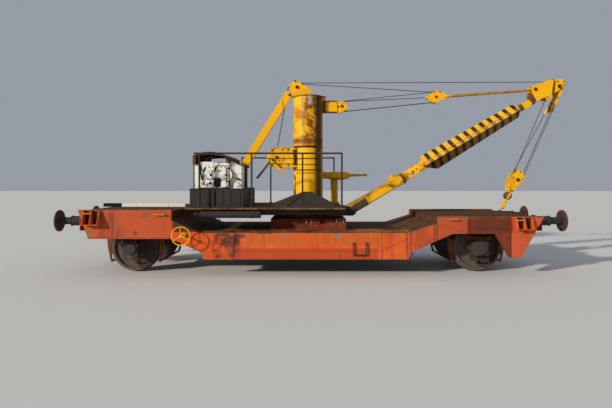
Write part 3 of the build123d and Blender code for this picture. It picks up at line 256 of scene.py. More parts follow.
def make_streaks():
    """Stains that water draws down an upright face."""
    tree, ins, outs = group("Run-down streaks", Vector=None, Width=9.0, Drop=0.9, Amount=0.4)
    parts = node(tree, "ShaderNodeSeparateXYZ", {0: ins["Vector"]}).outputs
    shares = (ins["Width"], ins["Width"], ins["Drop"])
    drawn = {i: times(parts[i], share) for i, share in enumerate(shares)}
    fine = noise(node(tree, "ShaderNodeCombineXYZ", drawn).outputs[0], 1.0, 5.0, Roughness=0.6)
    broad = ramped(noise(ins["Vector"], 0.9, 2.0), 0.38, 0.62)
    level = less(0.80, times(ins["Amount"], 0.5))
    line = ramped(fine, level, plus(level, 0.16))
    tree.links.new(times(line, broad), outs["Mask"])
    return tree


def make_fade():
    """Slow changes of a paint's shade over a large face."""
    tree, ins, outs = group("Faded shade", ("Color",), Color=None, Vector=None, Scale=1.2, Amount=0.25)
    slow = noise(ins["Vector"], ins["Scale"], Roughness=0.6)
    swing = times(less(slow, 0.5), ins["Amount"])
    shade = node(tree, "ShaderNodeHueSaturation", {
        "Saturation": less(1.0, times(swing, 0.6)),
        "Value": maths("MULTIPLY_ADD", swing, 2.0, 1.0), "Color": ins["Color"]})
    tree.links.new(shade.outputs[0], outs["Color"])
    return tree


def make_dust():
    """Dirt that lies on faces that look up."""
    tree, ins, outs = group("Lying dirt", Vector=None, Amount=0.6, Scale=5.0)
    normal = node(tree, "ShaderNodeNewGeometry").outputs["Normal"]
    up = node(tree, "ShaderNodeSeparateXYZ", {0: normal}).outputs[2]
    swing = less(noise(ins["Vector"], ins["Scale"]), 0.5)
    spread = plus(ramped(up, 0.35, 0.85), swing)
    tree.links.new(times(ramped(spread, 0.35, 0.95), ins["Amount"]), outs["Mask"])
    return tree


def make_edges():
    """Worn or rusty edges, and the normal of a slightly rounded corner."""
    tree, ins, outs = group("Worn edges", ("Mask", "Normal"), Vector=None, Radius=0.006, Amount=0.5)
    bevel = node(tree, "ShaderNodeBevel", {"Radius": ins["Radius"]}, samples=4).outputs[0]
    normal = node(tree, "ShaderNodeNewGeometry").outputs["Normal"]
    dot = node(tree, "ShaderNodeVectorMath", {0: bevel, 1: normal}, operation="DOT_PRODUCT")
    turned = less(1.0, dot.outputs["Value"])
    worn = ramped(noise(ins["Vector"], 14.0), 0.42, 0.6)
    edge = times(ramped(turned, 0.01, 0.12), worn)
    tree.links.new(times(edge, ins["Amount"]), outs["Mask"])
    tree.links.new(bevel, outs["Normal"])
    return tree


def make_grain():
    """Height of a rolled or cast face: fine grain on slow dents."""
    tree, ins, outs = group("Plate grain", ("Height",), Vector=None, Fine=160.0, Dents=1.5, Depth=0.4)
    grain = times(noise(ins["Vector"], ins["Fine"], 3.0), 0.22)
    dents = times(noise(ins["Vector"], ins["Dents"], 2.0), times(ins["Depth"], 10.0))
    tree.links.new(plus(grain, dents), outs["Height"])
    return tree


def make_stain():
    """One ragged blot at a place on the side, in X and Z."""
    tree, ins, outs = group("Blot", Vector=None, Centre_X=0.0, Centre_Z=1.0,
                            Half_width=0.1, Half_height=0.1, Ragged=0.6, Scale=9.0)
    parts = node(tree, "ShaderNodeSeparateXYZ", {0: ins["Vector"]}).outputs
    x = maths("DIVIDE", less(parts[0], ins["Centre X"]), ins["Half width"])
    z = maths("DIVIDE", less(parts[2], ins["Centre Z"]), ins["Half height"])
    reach = maths("SQRT", plus(times(x, x), times(z, z)))
    swing = times(less(noise(ins["Vector"], ins["Scale"]), 0.5), ins["Ragged"])
    reach = plus(reach, times(swing, 4.0))
    tree.links.new(less(1.0, ramped(reach, 0.7, 1.15)), outs["Mask"])
    return tree


def make_band():
    """1 between two values, with soft ends."""
    tree, ins, outs = group("Band", Value=0.0, From=0.0, To=1.0, Soft=0.01)
    rise = ramped(ins["Value"], ins["From"], plus(ins["From"], ins["Soft"]))
    fall = ramped(ins["Value"], less(ins["To"], ins["Soft"]), ins["To"])
    tree.links.new(maths("SUBTRACT", rise, fall, clamp=True), outs["Mask"])
    return tree


GROUP_MAKERS = {
    "patches": make_patches, "streaks": make_streaks, "fade": make_fade, "dust": make_dust,
    "edges": make_edges, "grain": make_grain, "stain": make_stain, "band": make_band,
}
groups = {}


def effect(tree, name, **inputs):
    """One of the shared effects, placed in a material with its own values."""
    if name not in groups:
        groups[name] = GROUP_MAKERS[name]()
    made = tree.nodes.new("ShaderNodeGroup")
    made.node_tree = groups[name]
    for label, value in inputs.items():
        socket = made.inputs[label.replace("_", " ")]
        if isinstance(value, bpy.types.NodeSocket):
            tree.links.new(value, socket)
        else:
            socket.default_value = value
    return made.outputs


# Materials

materials = {}

RUST_ROUGH = 0.85
SOOT = (0.012, 0.010, 0.009)
RUN = (0.30, 0.085, 0.012)
CHIP = (0.16, 0.19, 0.22)
OLD_YELLOW = (0.60, 0.30, 0.02)


class Finish:
    """A weathered finish as it is built up: its colour, its rust and its height."""

    def __init__(self, name, colour, rough, metallic=0.0):
        self.material = bpy.data.materials.new(name)
        self.material.use_nodes = True
        self.tree = self.material.node_tree
        self.tree.nodes.clear()
        self.place = node(self.tree, "ShaderNodeTexCoord").outputs["Object"]
        self.x, self.y, self.z = node(self.tree, "ShaderNodeSeparateXYZ", {0: self.place}).outputs
        self.colour = rgba(colour)
        self.rough = rough
        self.metallic = metallic
        self.bare = 0.0
        self.height = 0.0
        self.normal = None

    def effect(self, name, **inputs):
        return effect(self.tree, name, Vector=self.place, **inputs)

    def patches(self, amount, scale, softness):
        return self.effect("patches", Scale=scale, Amount=amount, Softness=softness)[0]

    def streaks(self, amount, width, drop):
        return self.effect("streaks", Width=width, Drop=drop, Amount=amount)[0]

    def band(self, value, low, high, soft):
        return effect(self.tree, "band", Value=value, From=low, To=high, Soft=soft)[0]

    def box(self, x=None, y=None, z=None, soft=0.006):
        """1 inside ranges of the wagon's own X, Y and Z, given in millimetres."""
        mask = None
        for value, span, shift in ((self.x, x, -FRAME_X), (self.y, y, 0), (self.z, z, FLANGE_H)):
            if span is None:
                continue
            part = self.band(value, (span[0] + shift) / 1000, (span[1] + shift) / 1000, soft)
            mask = part if mask is None else times(mask, part)
        return mask

    def sloped(self, origin, slope):
        """Distances along and off a line that rises at an angle from a place, in X and Z."""
        c, s = math.cos(slope), math.sin(slope)
        x = less(self.x, origin.x)
        z = less(self.z, origin.z)
        along = plus(times(x, c), times(z, s))
        return along, less(times(z, c), times(x, s))

    def boom_axes(self):
        return self.sloped(at(BOOM_FOOT[0], 0, BOOM_FOOT[1]), BOOM_SLOPE)

    def over(self, mask, colour, share=1.0):
        """Lay a colour over the finish where the mask is white."""
        colour = colour if hasattr(colour, "links") else rgba(colour)
        self.colour = mixed(times(mask, share), self.colour, colour)

    def fade(self, amount, scale):
        self.colour = self.effect("fade", Color=self.colour, Scale=scale, Amount=amount)[0]

    def rusty(self, amount, scale, colours=None, softness=0.05):
        """Patches where the paint is gone, in two colours of rust."""
        paint = bpy.context.scene.crane_paint
        light, dark = colours or (paint.rust, paint.old_rust)
        share = ramped(noise(self.place, scale * 5), 0.38, 0.62)
        mask = self.patches(amount, scale, softness)
        self.over(mask, mixed(share, rgba(light), rgba(dark)))
        self.bare = maths("MAXIMUM", self.bare, mask)

    def streaked(self, colour, amount, width, drop, share):
        self.over(self.streaks(amount, width, drop), colour, share)

    def dusty(self, colour, amount):
        self.over(self.effect("dust", Amount=amount)[0], colour)

    def edged(self, colour, radius, amount):
        outs = self.effect("edges", Radius=radius, Amount=amount)
        self.over(outs["Mask"], colour)
        self.normal = outs["Normal"]

    def grained(self, fine, dents, depth):
        self.height = self.effect("grain", Fine=fine, Dents=dents, Depth=depth)[0]

    def blot(self, x, z, half_w, half_h, colour, share, ragged, scale):
        mask = self.effect(
            "stain", Centre_X=(x - FRAME_X) / 1000, Centre_Z=(z + FLANGE_H) / 1000, Half_width=half_w / 1000,
            Half_height=half_h / 1000, Ragged=ragged, Scale=scale)[0]
        self.over(mask, colour, share)

    def marked(self, colour, share, soft=0.006, **place):
        """A colour inside ranges of X, Y and Z only."""
        self.over(self.box(soft=soft, **place), colour, share)

    def stained(self, colour, share, scale, amount, softness=0.15, soft=0.05, **place):
        """Ragged patches of a colour, inside ranges of X, Y and Z only."""
        mask = times(self.patches(amount, scale, softness), self.box(soft=soft, **place))
        self.over(mask, colour, share)

    def run_down(self, colour, share, width, amount=0.9, **place):
        """Streaks inside ranges of X, Y and Z only."""
        mask = times(self.streaks(amount, width, 0.9), self.box(soft=0.1, **place))
        self.over(mask, colour, share)

    def done(self, bump, distance, gloss=0.22):
        """Wire the shader, with bare rust rougher and lower than paint."""
        tree = self.tree
        rough, height = self.rough, self.height
        if hasattr(self.bare, "links"):
            rough = node(tree, "ShaderNodeMix", {0: self.bare, 2: rough, 3: RUST_ROUGH}).outputs[0]
            height = less(height, times(self.bare, 0.5))
        relief = node(tree, "ShaderNodeBump", {"Strength": bump, "Distance": distance, "Height": height})
        if self.normal is not None:
            tree.links.new(self.normal, relief.inputs["Normal"])
        shader = node(tree, "ShaderNodeBsdfPrincipled", {
            "Base Color": self.colour, "Roughness": rough, "Metallic": self.metallic,
            "Specular IOR Level": gloss, "Normal": relief.outputs[0]})
        node(tree, "ShaderNodeOutputMaterial", {"Surface": shader.outputs[0]})
        return self.material


# On the side plates: X range, Z range, colour and share, for each panel's own shade and for runs of rust
PANEL_SHADES = (
    ((3220, 4120), None, (0.095, 0.016, 0.009), 0.86),
    ((-5000, -2700), None, (0.42, 0.070, 0.030), 0.60),
    ((2640, 3220), None, (0.37, 0.066, 0.030), 0.70),
    ((4120, 5200), None, (0.46, 0.086, 0.044), 0.60),
    ((2040, 2530), None, (0.50, 0.080, 0.032), 0.50),
    ((-1480, 1460), (-900, 555), (0.38, 0.048, 0.015), 0.60),
    ((2530, 2645), (430, 1200), (0.10, 0.042, 0.030), 0.62),
    ((1995, 2045), (320, 860), (0.16, 0.05, 0.03), 0.6),
)
SIDE_RUNS = (
    ((-3980, -3050), (700, 1330), (0.11, 0.036, 0.016), 0.80),
    ((-1860, -1250), (320, 870), (0.05, 0.026, 0.018), 0.85),
    ((-4620, -4200), (700, 1330), (0.30, 0.13, 0.025), 0.85),
    ((3150, 4200), (830, 1190), (0.075, 0.026, 0.016), 0.75),
    ((-1250, 1500), (560, 870), (0.34, 0.11, 0.012), 0.45),
    ((2050, 3300), (500, 1190), (0.17, 0.04, 0.02), 0.55),
)
# Places in X and Z with half widths and half heights
DARK_BLOTS = ((-1690, 825, 150, 45), (-1330, 800, 90, 50), (-900, 850, 160, 22), (-3420, 860, 50, 45))
CHIPS = ((-450, 800, 70, 26), (640, 790, 75, 42), (900, 700, 40, 20))
# Bays between the post pockets' gussets, painted near black as shade: X range and Z range
SHADED_POCKET_BAYS = (
    ((-4426, -4285), (1030, 1300)), ((-4271, -4130), (1030, 1300)),
    ((4204, 4345), (940, 1165)), ((4359, 4500), (940, 1165)),
)
POCKET_BARS = (((-4480, -4100), (1229, 1261)), ((4150, 4560), (1094, 1126)))
# Dark lines round and down the column, partly painted shadows of the railing and of the winch's cheeks: X
# range, Z range and share
COLUMN_LINES_AND_SHADOWS = (
    ((-300, 235), (2636, 2692), 0.95), ((-300, 235), (2382, 2412), 0.90), ((-300, 235), (2250, 2278), 0.65),
    ((-300, 235), (2127, 2157), 0.92), ((-230, 240), (2062, 2088), 0.75), ((-252, -226), (1554, 2036), 0.75),
    # The first row here is the painted shadow of the winch's cheeks down the column's left side
    ((-278, -188), (2166, 2656), 0.94), ((212, 240), (2154, 2656), 0.80),
)


def orange_paint():
    """Paint of the side plates, with a tone of its own for each panel, painted shade in the post pockets'
    bays and a painted shadow behind the handwheel.
    """
    f = Finish("Orange side paint", bpy.context.scene.crane_paint.orange, rough=0.62)
    f.fade(0.22, 1.1)
    f.fade(0.12, 6.0)
    for x, z, colour, share in PANEL_SHADES:
        f.marked(colour, share, 0.012, x=x, z=z)
    f.streaked((0.20, 0.045, 0.015), amount=0.62, width=7.0, drop=0.7, share=0.55)
    f.streaked(SOOT, amount=0.30, width=12.0, drop=0.8, share=0.6)
    f.rusty(0.16, 2.4)
    for x, z, colour, share in SIDE_RUNS:
        f.run_down(colour, share, 9.0, x=x, z=z)
    for blot in DARK_BLOTS:
        f.blot(*blot, (0.055, 0.046, 0.040), 0.75, 0.9, 8.0)
    for blot in CHIPS:
        f.blot(*blot, CHIP, 0.85, 0.7, 22.0)
    f.stained((0.20, 0.095, 0.03), 0.8, 6.0, 0.55, x=(-4800, 4900), z=(1120, 1330))
    f.stained((0.24, 0.12, 0.035), 0.8, 5.0, 0.60, soft=0.02, x=(-2200, 2100), z=(838, 880))
    # Painted shade in the post pockets' bays
    for x, z in SHADED_POCKET_BAYS:
        f.marked((0.010, 0.006, 0.005), 0.93, x=x, z=z)
    f.stained((0.045, 0.022, 0.016), 0.85, 5.0, 0.60, x=(-1900, -1330), z=(330, 860))
    # Painted shadow on the near side's sloped plate behind the handwheel
    f.marked((0.022, 0.013, 0.010), 0.88, 0.03, x=(-2684, -2000), y=(-1420, -1000), z=(858, 1420))
    f.dusty((0.10, 0.062, 0.035), 0.9)
    f.edged((0.07, 0.03, 0.018), 0.012, 0.9)
    f.grained(150, 1.3, 0.5)
    return f.done(0.4, 0.005)


def pocket_paint():
    """Paint of the post pockets, whose cross bars are yellow."""
    f = Finish("Pocket paint", bpy.context.scene.crane_paint.orange, rough=0.62)
    f.fade(0.25, 4.0)
    f.rusty(0.34, 5.0)
    out = maths("ABSOLUTE", f.y)
    for x, z in POCKET_BARS:
        bar = times(f.band(out, 1.428, 1.462, 0.002), f.box(x=x, z=z, soft=0.002))
        f.over(bar, OLD_YELLOW, 0.9)
    f.edged((0.10, 0.05, 0.02), 0.010, 0.9)
    f.grained(150, 3.0, 0.4)
    return f.done(0.4, 0.004)


def yellow_start(name, rust=0.16, run=0.4, colour=None):
    """The crane's yellow, with its runs and patches of rust."""
    f = Finish(name, colour or bpy.context.scene.crane_paint.yellow, rough=0.48)
    f.fade(0.12, 1.8)
    f.streaked(RUN, amount=run, width=11.0, drop=1.3, share=0.75)
    f.rusty(rust, 5.0)
    return f


def yellow_end(f, radius=0.010):
    """Dirt, worn edges and grain over a yellow finish."""
    f.dusty((0.16, 0.075, 0.02), 0.55)
    f.edged((0.10, 0.04, 0.012), radius, 0.9)
    f.grained(190, 2.0, 0.2)
    return f.done(0.3, 0.003)


def yellow_paint(name="Yellow crane paint", rust=0.18, run=0.45, colour=None):
    return yellow_end(yellow_start(name, rust, run, colour))


def column_paint():
    """The column: rusted above its first ring, painted shade down its right side, and dark lines round its
    rings that are partly painted shadows.
    """
    f = Finish("Column paint", bpy.context.scene.crane_paint.yellow, rough=0.48)
    f.fade(0.14, 1.6)
    f.stained((0.40, 0.115, 0.010), 0.80, 3.4, 0.56, 0.16, soft=0.2, z=(2640, 3830))
    f.stained((0.15, 0.038, 0.007), 0.90, 8.0, 0.60, 0.10, soft=0.2, x=(-160, 400), z=(2640, 3830))
    f.run_down((0.16, 0.042, 0.008), 0.90, 26.0, 0.80, x=(-150, 400), z=(2640, 3830))
    f.marked((0.15, 0.045, 0.008), 0.88, 0.10, z=(2680, 2900))
    # Painted shade down the column's right side, away from the key light
    f.marked((0.036, 0.014, 0.005), 0.90, 0.11, x=(150, 420))
    f.marked((0.060, 0.026, 0.012), 0.85, z=(3786, 3824))
    # Dark lines, and painted shadow lines of the railing and the winch's cheeks
    for x, z, share in COLUMN_LINES_AND_SHADOWS:
        f.marked((0.016, 0.008, 0.004), share, 0.003, x=x, z=z)
    f.blot(90, 3700, 50, 105, (0.36, 0.37, 0.36), 0.9, 0.3, 10.0)
    f.rusty(0.12, 6.0)
    f.dusty((0.10, 0.05, 0.02), 0.8)
    f.edged((0.06, 0.03, 0.015), 0.008, 0.9)
    f.grained(190, 2.0, 0.2)
    return f.done(0.3, 0.003)


def arm_paint():
    """The luffing arm: brown painted shade at its root by the column, and brown along its top and bottom
    plates.
    """
    f = yellow_start("Arm paint")
    # Painted shade on the arm's root, beside the column's shaded side
    f.marked((0.040, 0.018, 0.007), 0.9, 0.03, x=(300, 470))
    for z in ((3450, 3480), (3700, 3730)):
        f.marked((0.025, 0.014, 0.009), 0.9, 0.003, x=(300, 718), z=z)
    return yellow_end(f)


def winch_paint():
    """The winch: rust along its top, painted shadows of the railing across its cheeks and a dark crank."""
    f = yellow_start("Winch paint", 0.28, 0.5)
    f.stained((0.34, 0.12, 0.008), 0.85, 5.0, 0.56, soft=0.02, z=(2530, 2670))
    f.stained((0.10, 0.04, 0.010), 0.85, 9.0, 0.48, soft=0.02, x=(-840, -460), z=(2200, 2520))
    # Painted shadow lines of the railing across the cheeks
    for z in (2402, 2279):
        f.marked((0.035, 0.015, 0.006), 0.85, 0.004, x=(-860, -285), z=(z - 14, z + 14))
    f.marked((0.030, 0.016, 0.009), 0.92, 0.004, x=(-1200, -800), y=(-500, -262))
    f.marked((0.040, 0.020, 0.010), 0.85, 0.003, x=(-840, -700), y=(-262, -226), z=(2285, 2420))
    return yellow_end(f)


def boom_paint():
    """The boom's lower part: a dark panel at its foot, a brown back, painted shade with dirt on its lower
    face and rust round the joint.
    """
    f = yellow_start("Boom paint", 0.22)
    u, v = f.boom_axes()
    back = times(f.band(u, -0.3, 0.60, 0.05), f.band(v, 0.070, 0.4, 0.006))
    f.over(back, (0.26, 0.12, 0.020), 0.8)
    # Darker lower face: painted shade, with dirt
    f.over(f.band(v, -0.4, -0.050, 0.02), (0.13, 0.050, 0.006), 0.65)
    joint = times(f.patches(0.52, 6.0, 0.12), f.band(u, 0.95, 2.10, 0.15))
    f.over(joint, (0.15, 0.050, 0.012), 0.85)
    f.over(f.band(u, 1.376, 1.424, 0.004), (0.09, 0.035, 0.012), 0.8)
    foot = times(f.band(u, 0.09, 0.445, 0.008), f.band(v, -0.2, 0.078, 0.006))
    f.over(foot, (0.022, 0.021, 0.022), 0.94)
    return yellow_end(f)


def head_paint():
    """The boom's head: two dark bands on its neck, painted shade in the gap behind the cheeks and rusty rope
    guards.
    """
    f = yellow_start("Boom head paint", 0.16)
    u = f.boom_axes()[0]
    neck = f.box(x=(4600, 5300), soft=0.02)
    for low, high in ((4.50, 4.60), (4.79, 4.90)):
        f.over(times(neck, f.band(u, low, high, 0.004)), (0.030, 0.016, 0.010), 0.9)
    # Painted shade in the gap between the cheeks
    between = f.band(maths("ABSOLUTE", f.y), -1.0, 0.1083, 0.0004)
    f.over(times(between, f.box(x=(5556, 5650))), (0.020, 0.012, 0.008), 0.9)
    f.stained((0.30, 0.11, 0.012), 0.8, 7.0, 0.60, x=(5300, 6000), z=(3200, 3830))
    f.stained((0.16, 0.06, 0.012), 0.8, 8.0, 0.50, x=(5600, 6000), z=(3850, 4300))
    return yellow_end(f)


def tackle_paint():
    """The luffing block in yellow, and its rod gone to rust."""
    f = yellow_start("Tackle paint", 0.22)
    f.marked((0.40, 0.155, 0.020), 0.85, 0.05, x=(3290, 5400))
    f.stained((0.11, 0.042, 0.014), 0.85, 8.0, 0.50, 0.1, x=(3290, 5400))
    return yellow_end(f, 0.008)


def hook_paint():
    """The hook in yellow under a dark weight, with a yellow strap down the weight's near side."""
    f = yellow_start("Hook paint", 0.22)
    up, off = f.sloped(on_block(0, 0), math.pi / 2 - FALL_LEAN)
    strap = times(f.band(off, -0.008, 0.048, 0.004), ramped(f.y, -0.02, -0.03))
    weight = times(f.band(up, -0.510, -0.314, 0.01), less(1.0, strap))
    f.over(weight, (0.030, 0.022, 0.020), 0.93)
    return yellow_end(f, 0.006)


def hazard_paint():
    """Black and yellow stripes along the boom, rubbed and rusty by the long corners, with painted shade on
    the lower face.
    """
    paint = bpy.context.scene.crane_paint
    f = Finish("Hazard stripes", paint.yellow, rough=0.5)
    f.fade(0.12, 1.8)
    u, v = f.boom_axes()
    along = plus(u, times(noise(f.place, 5.0, 3.0), 0.03))
    turn = maths("FRACT", maths("DIVIDE", along, paint.stripe_pitch))
    black = f.band(turn, 0.28, 0.76, 0.03)
    worn = times(f.patches(0.30, 9.0, 0.12), 0.5)
    f.over(times(black, less(1.0, worn)), (0.020, 0.019, 0.019))
    # Painted shade on the lower face, between the black stripes
    below = ramped(v, 0.025, 0.010)
    f.over(times(below, less(1.0, black)), (0.17, 0.055, 0.004), 0.78)
    faded = times(f.band(v, 0.026, 0.120, 0.05), f.patches(0.66, 6.0, 0.1))
    f.over(faded, (0.50, 0.235, 0.030), 0.88)
    f.over(f.band(v, 0.018, 0.036, 0.006), (0.58, 0.40, 0.22), 0.75)
    f.rusty(0.20, 6.0)
    f.dusty((0.16, 0.075, 0.02), 0.3)
    f.edged((0.12, 0.05, 0.02), 0.008, 0.7)
    f.grained(190, 2.0, 0.2)
    return f.done(0.3, 0.003)


def dark_start(name, rust):
    """Dark paint with light streaks and rust."""
    f = Finish(name, bpy.context.scene.crane_paint.dark, rough=0.65)
    f.fade(0.35, 2.0)
    f.streaked((0.060, 0.040, 0.027), amount=0.5, width=9.0, drop=0.8, share=0.6)
    f.rusty(rust, 3.2, ((0.11, 0.042, 0.018), (0.040, 0.022, 0.014)), softness=0.10)
    return f


def dark_end(f):
    """Dirt, worn edges and grain over a dark finish."""
    f.dusty((0.048, 0.036, 0.027), 0.7)
    f.edged((0.10, 0.05, 0.03), 0.006, 0.7)
    f.grained(150, 1.6, 0.4)
    return f.done(0.35, 0.004)


def dark_paint():
    return dark_end(dark_start("Dark frame paint", 0.30))


def handle_paint():
    """Yellow grab handles, and the dark stirrups below them."""
    f = dark_start("Handle paint", 0.2)
    f.marked(OLD_YELLOW, 0.92, z=(1060, 1400))
    return dark_end(f)


def buffer_paint():
    """Dark buffer casings with rusty heads."""
    f = dark_start("Buffer paint", 0.3)
    out = maths("ABSOLUTE", plus(f.x, (FRAME_X - BUFFER_MID_X) / 1000))
    f.over(ramped(out, BUFFER_REACH / 1000, (BUFFER_REACH + 8) / 1000), (0.13, 0.036, 0.018), 0.9)
    return dark_end(f)


def deck_steel():
    """Rusty plate, ochre along the well's and the platform's edges."""
    f = Finish("Deck steel", (0.095, 0.044, 0.020), rough=0.85)
    f.fade(0.5, 1.7)
    f.rusty(0.55, 2.2, ((0.20, 0.085, 0.022), (0.040, 0.025, 0.017)), 0.2)
    f.rusty(0.40, 8.0, ((0.17, 0.075, 0.028), (0.032, 0.021, 0.015)), 0.1)
    f.stained((0.34, 0.165, 0.035), 0.85, 3.0, 0.62, 0.12, y=(-1400, -500), z=(800, 905))
    f.stained((0.26, 0.125, 0.030), 0.8, 5.0, 0.60, 0.12, soft=0.004, y=(-1330, -1250), z=(1312, 1360))
    f.edged((0.16, 0.07, 0.03), 0.006, 0.5)
    f.grained(110, 2.6, 0.5)
    return f.done(0.5, 0.006, gloss=0.08)


def rusty_iron(name, colour, light=(0.20, 0.065, 0.024), dark=(0.040, 0.020, 0.013), amount=0.6):
    """Iron that has lost its paint, in its own colour and two of rust."""
    f = Finish(name, colour, rough=0.78)
    f.fade(0.4, 2.5)
    f.rusty(amount, 4.0, (light, dark), 0.16)
    f.dusty((0.095, 0.065, 0.042), 0.5)
    f.edged((0.24, 0.11, 0.06), 0.005, 0.5)
    f.grained(130, 3.0, 0.35)
    return f.done(0.45, 0.004, gloss=0.15)


def white_start(name):
    """Dirty white paint, chipped and streaked."""
    f = Finish(name, bpy.context.scene.crane_paint.white, rough=0.55)
    f.fade(0.14, 2.6)
    f.rusty(0.24, 7.0, ((0.24, 0.10, 0.045), (0.06, 0.035, 0.022)), 0.06)
    f.streaked((0.17, 0.10, 0.055), amount=0.45, width=16.0, drop=1.6, share=0.6)
    return f


def engine_paint():
    """Dirty white engine: painted shade in the cover's openings, brown at its left edge and oil low down."""
    f = white_start("Engine paint")
    f.stained((0.055, 0.042, 0.034), 0.75, 9.0, 0.50, 0.10, x=(-2400, -1300), z=(1720, 1990))
    f.stained((0.16, 0.14, 0.12), 0.6, 6.0, 0.44, 0.10, x=(-2400, -1300), z=(1900, 2300))
    # Painted shade in the cover's openings, in the colour of soot
    f.marked(SOOT, 0.96, 0.003, x=(-2206, -1564), y=(-1024, -935), z=(1764, 2192))
    f.marked((0.050, 0.026, 0.016), 0.9, x=(-2400, -2308))
    f.edged((0.10, 0.06, 0.035), 0.008, 0.85)
    f.grained(170, 3.0, 0.3)
    return f.done(0.35, 0.003)


def white_paint():
    """Paint of the stowed beam."""
    f = white_start("Dirty white paint")
    f.edged((0.16, 0.09, 0.05), 0.005, 0.5)
    f.grained(170, 3.0, 0.3)
    return f.done(0.35, 0.003)


def wheel_steel():
    """Rusty steel, slightly paler beyond a ring, and dark all over as painted shade.

    The ring's middle is FRAME_X off each wheel's, because its X isn't taken back to the wagon's own.
    """
    # These dark colours are partly painted shade, standing in for the shade under the wagon
    f = Finish("Wheel steel", (0.060, 0.038, 0.027), rough=0.75, metallic=0.1)
    f.fade(0.35, 2.0)
    up = less(f.z, (WHEEL_R + FLANGE_H) / 1000)
    out = less(maths("ABSOLUTE", f.x), AXLE_X / 1000)
    f.rusty(0.5, 3.0, ((0.085, 0.036, 0.018), (0.026, 0.016, 0.012)), 0.2)
    square = plus(times(up, up), times(out, out))
    tread = ramped(square, 0.240, 0.246)
    f.over(tread, (0.26, 0.23, 0.21), 0.25)
    f.edged((0.20, 0.12, 0.08), 0.006, 0.5)
    f.grained(120, 3.0, 0.3)
    return f.done(0.4, 0.003)


def brown_tube():
    f = Finish("Brown tube paint", (0.038, 0.018, 0.013), rough=0.6)
    f.fade(0.4, 5.0)
    f.rusty(0.42, 9.0, ((0.13, 0.045, 0.022), (0.03, 0.016, 0.012)), 0.12)
    f.grained(200, 6.0, 0.1)
    return f.done(0.3, 0.002)


def wire_rope():
    f = Finish("Greasy rope steel", (0.060, 0.046, 0.040), rough=0.5, metallic=0.5)
    f.fade(0.5, 12.0)
    f.rusty(0.4, 14.0, ((0.15, 0.07, 0.035), (0.03, 0.022, 0.018)), 0.15)
    f.grained(300, 20.0, 0.1)
    return f.done(0.3, 0.001)


def soot():
    f = Finish("Soot", (0.006, 0.006, 0.006), rough=0.9)
    f.fade(0.4, 8.0)
    f.grained(90, 5.0, 0.3)
    return f.done(0.3, 0.003)


def pale_strip():
    return yellow_paint("Pale strip", 0.10, 0.2, (0.55, 0.50, 0.42))


PAINTS = {maker.__name__: maker for maker in (
    orange_paint, yellow_paint, column_paint, hazard_paint, arm_paint, winch_paint, boom_paint, head_paint,
    tackle_paint, hook_paint, pocket_paint, handle_paint, buffer_paint, engine_paint, dark_paint, deck_steel,
    white_paint, wheel_steel, brown_tube, wire_rope, soot, pale_strip,
)}
# Rusty irons: name, bare colour, light rust, dark rust and how much
IRONS = {
    "rust_sheet": ("Rusty sheet", (0.10, 0.040, 0.020)),
    "rust_iron": ("Rusty iron", (0.055, 0.030, 0.022)),
    "red_base": ("Base paint", (0.24, 0.045, 0.022), (0.13, 0.045, 0.024), (0.040, 0.020, 0.013), 0.5),
    # Cast grey is darkened as painted shade of the axle boxes under the wagon
    "cast_grey": ("Cast grey", (0.048, 0.046, 0.044), (0.075, 0.055, 0.04), (0.024, 0.021, 0.019), 0.4),
    "brake_rust": ("Brake rust", (0.17, 0.050, 0.026), (0.20, 0.062, 0.028), (0.07, 0.03, 0.018)),
}


def finish_named(name):
    """A finish by its name, made when it is first asked for."""
    if name not in materials:
        materials[name] = rusty_iron(*IRONS[name]) if name in IRONS else PAINTS[name]()
    return materials[name]


# Which finish each solid of the frame gets, where it isn't the one of its slot
NODE_FINISH = {
    "column": "column_paint",
    "slew_base": "red_base",
    "luff_arm": "arm_paint",
    "winch": "winch_paint",
    "boom_lower": "boom_paint",
    "boom_head": "head_paint",
    "luff_tackle": "tackle_paint",
    "crane_hook": "hook_paint",
    "post_pockets": "pocket_paint",
    "steps_and_handles": "handle_paint",
    "engine": "engine_paint",
    "buffers_left": "buffer_paint",
    "buffers_right": "buffer_paint",
    "brake_gear": "brake_rust",
}


def slot_of_node(name):
    for row in frame["record"]["subparts"]:
        if row["node"] == name:
            return row["material_slot"]
    raise ValueError("no slot for " + name)


# Meshes

def mesh_object(name, bm, finish, body, smooth=False):
    """A new piece with the finish of the given name, riding on a body when one is given."""
    mesh = bpy.data.meshes.new(name)
    bmesh.ops.recalc_face_normals(bm, faces=bm.faces)
    bm.to_mesh(mesh)
    bm.free()
    for polygon in mesh.polygons:
        polygon.use_smooth = smooth
    made = bpy.data.objects.new(name, mesh)
    bpy.context.scene.collection.objects.link(made)
    mesh.materials.append(finish_named(finish))
    if body:
        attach(made, body)
    return made


def rings_to_faces(bm, rings, closed=False):
    """Faces between rings of vertices with equal counts."""
    n = len(rings[0])
    for a, b in zip(rings, rings[1:] + (rings[:1] if closed else [])):
        for i in range(n):
            j = (i + 1) % n
            bm.faces.new((a[i], a[j], b[j], b[i]))
    if not closed:
        bm.faces.new(list(reversed(rings[0])))
        bm.faces.new(rings[-1])


def frames_along(points):
    """For each point, the direction and two cross directions that turn as little as possible."""
    count = len(points)
    out = []
    side = None
    for i in range(count):
        ahead = points[min(i + 1, count - 1)] - points[max(i - 1, 0)]
        t = ahead.normalized()
        if side is None:
            side = t.orthogonal().normalized()
        side = (side - t * side.dot(t)).normalized()
        out.append((t, side, t.cross(side)))
    return out


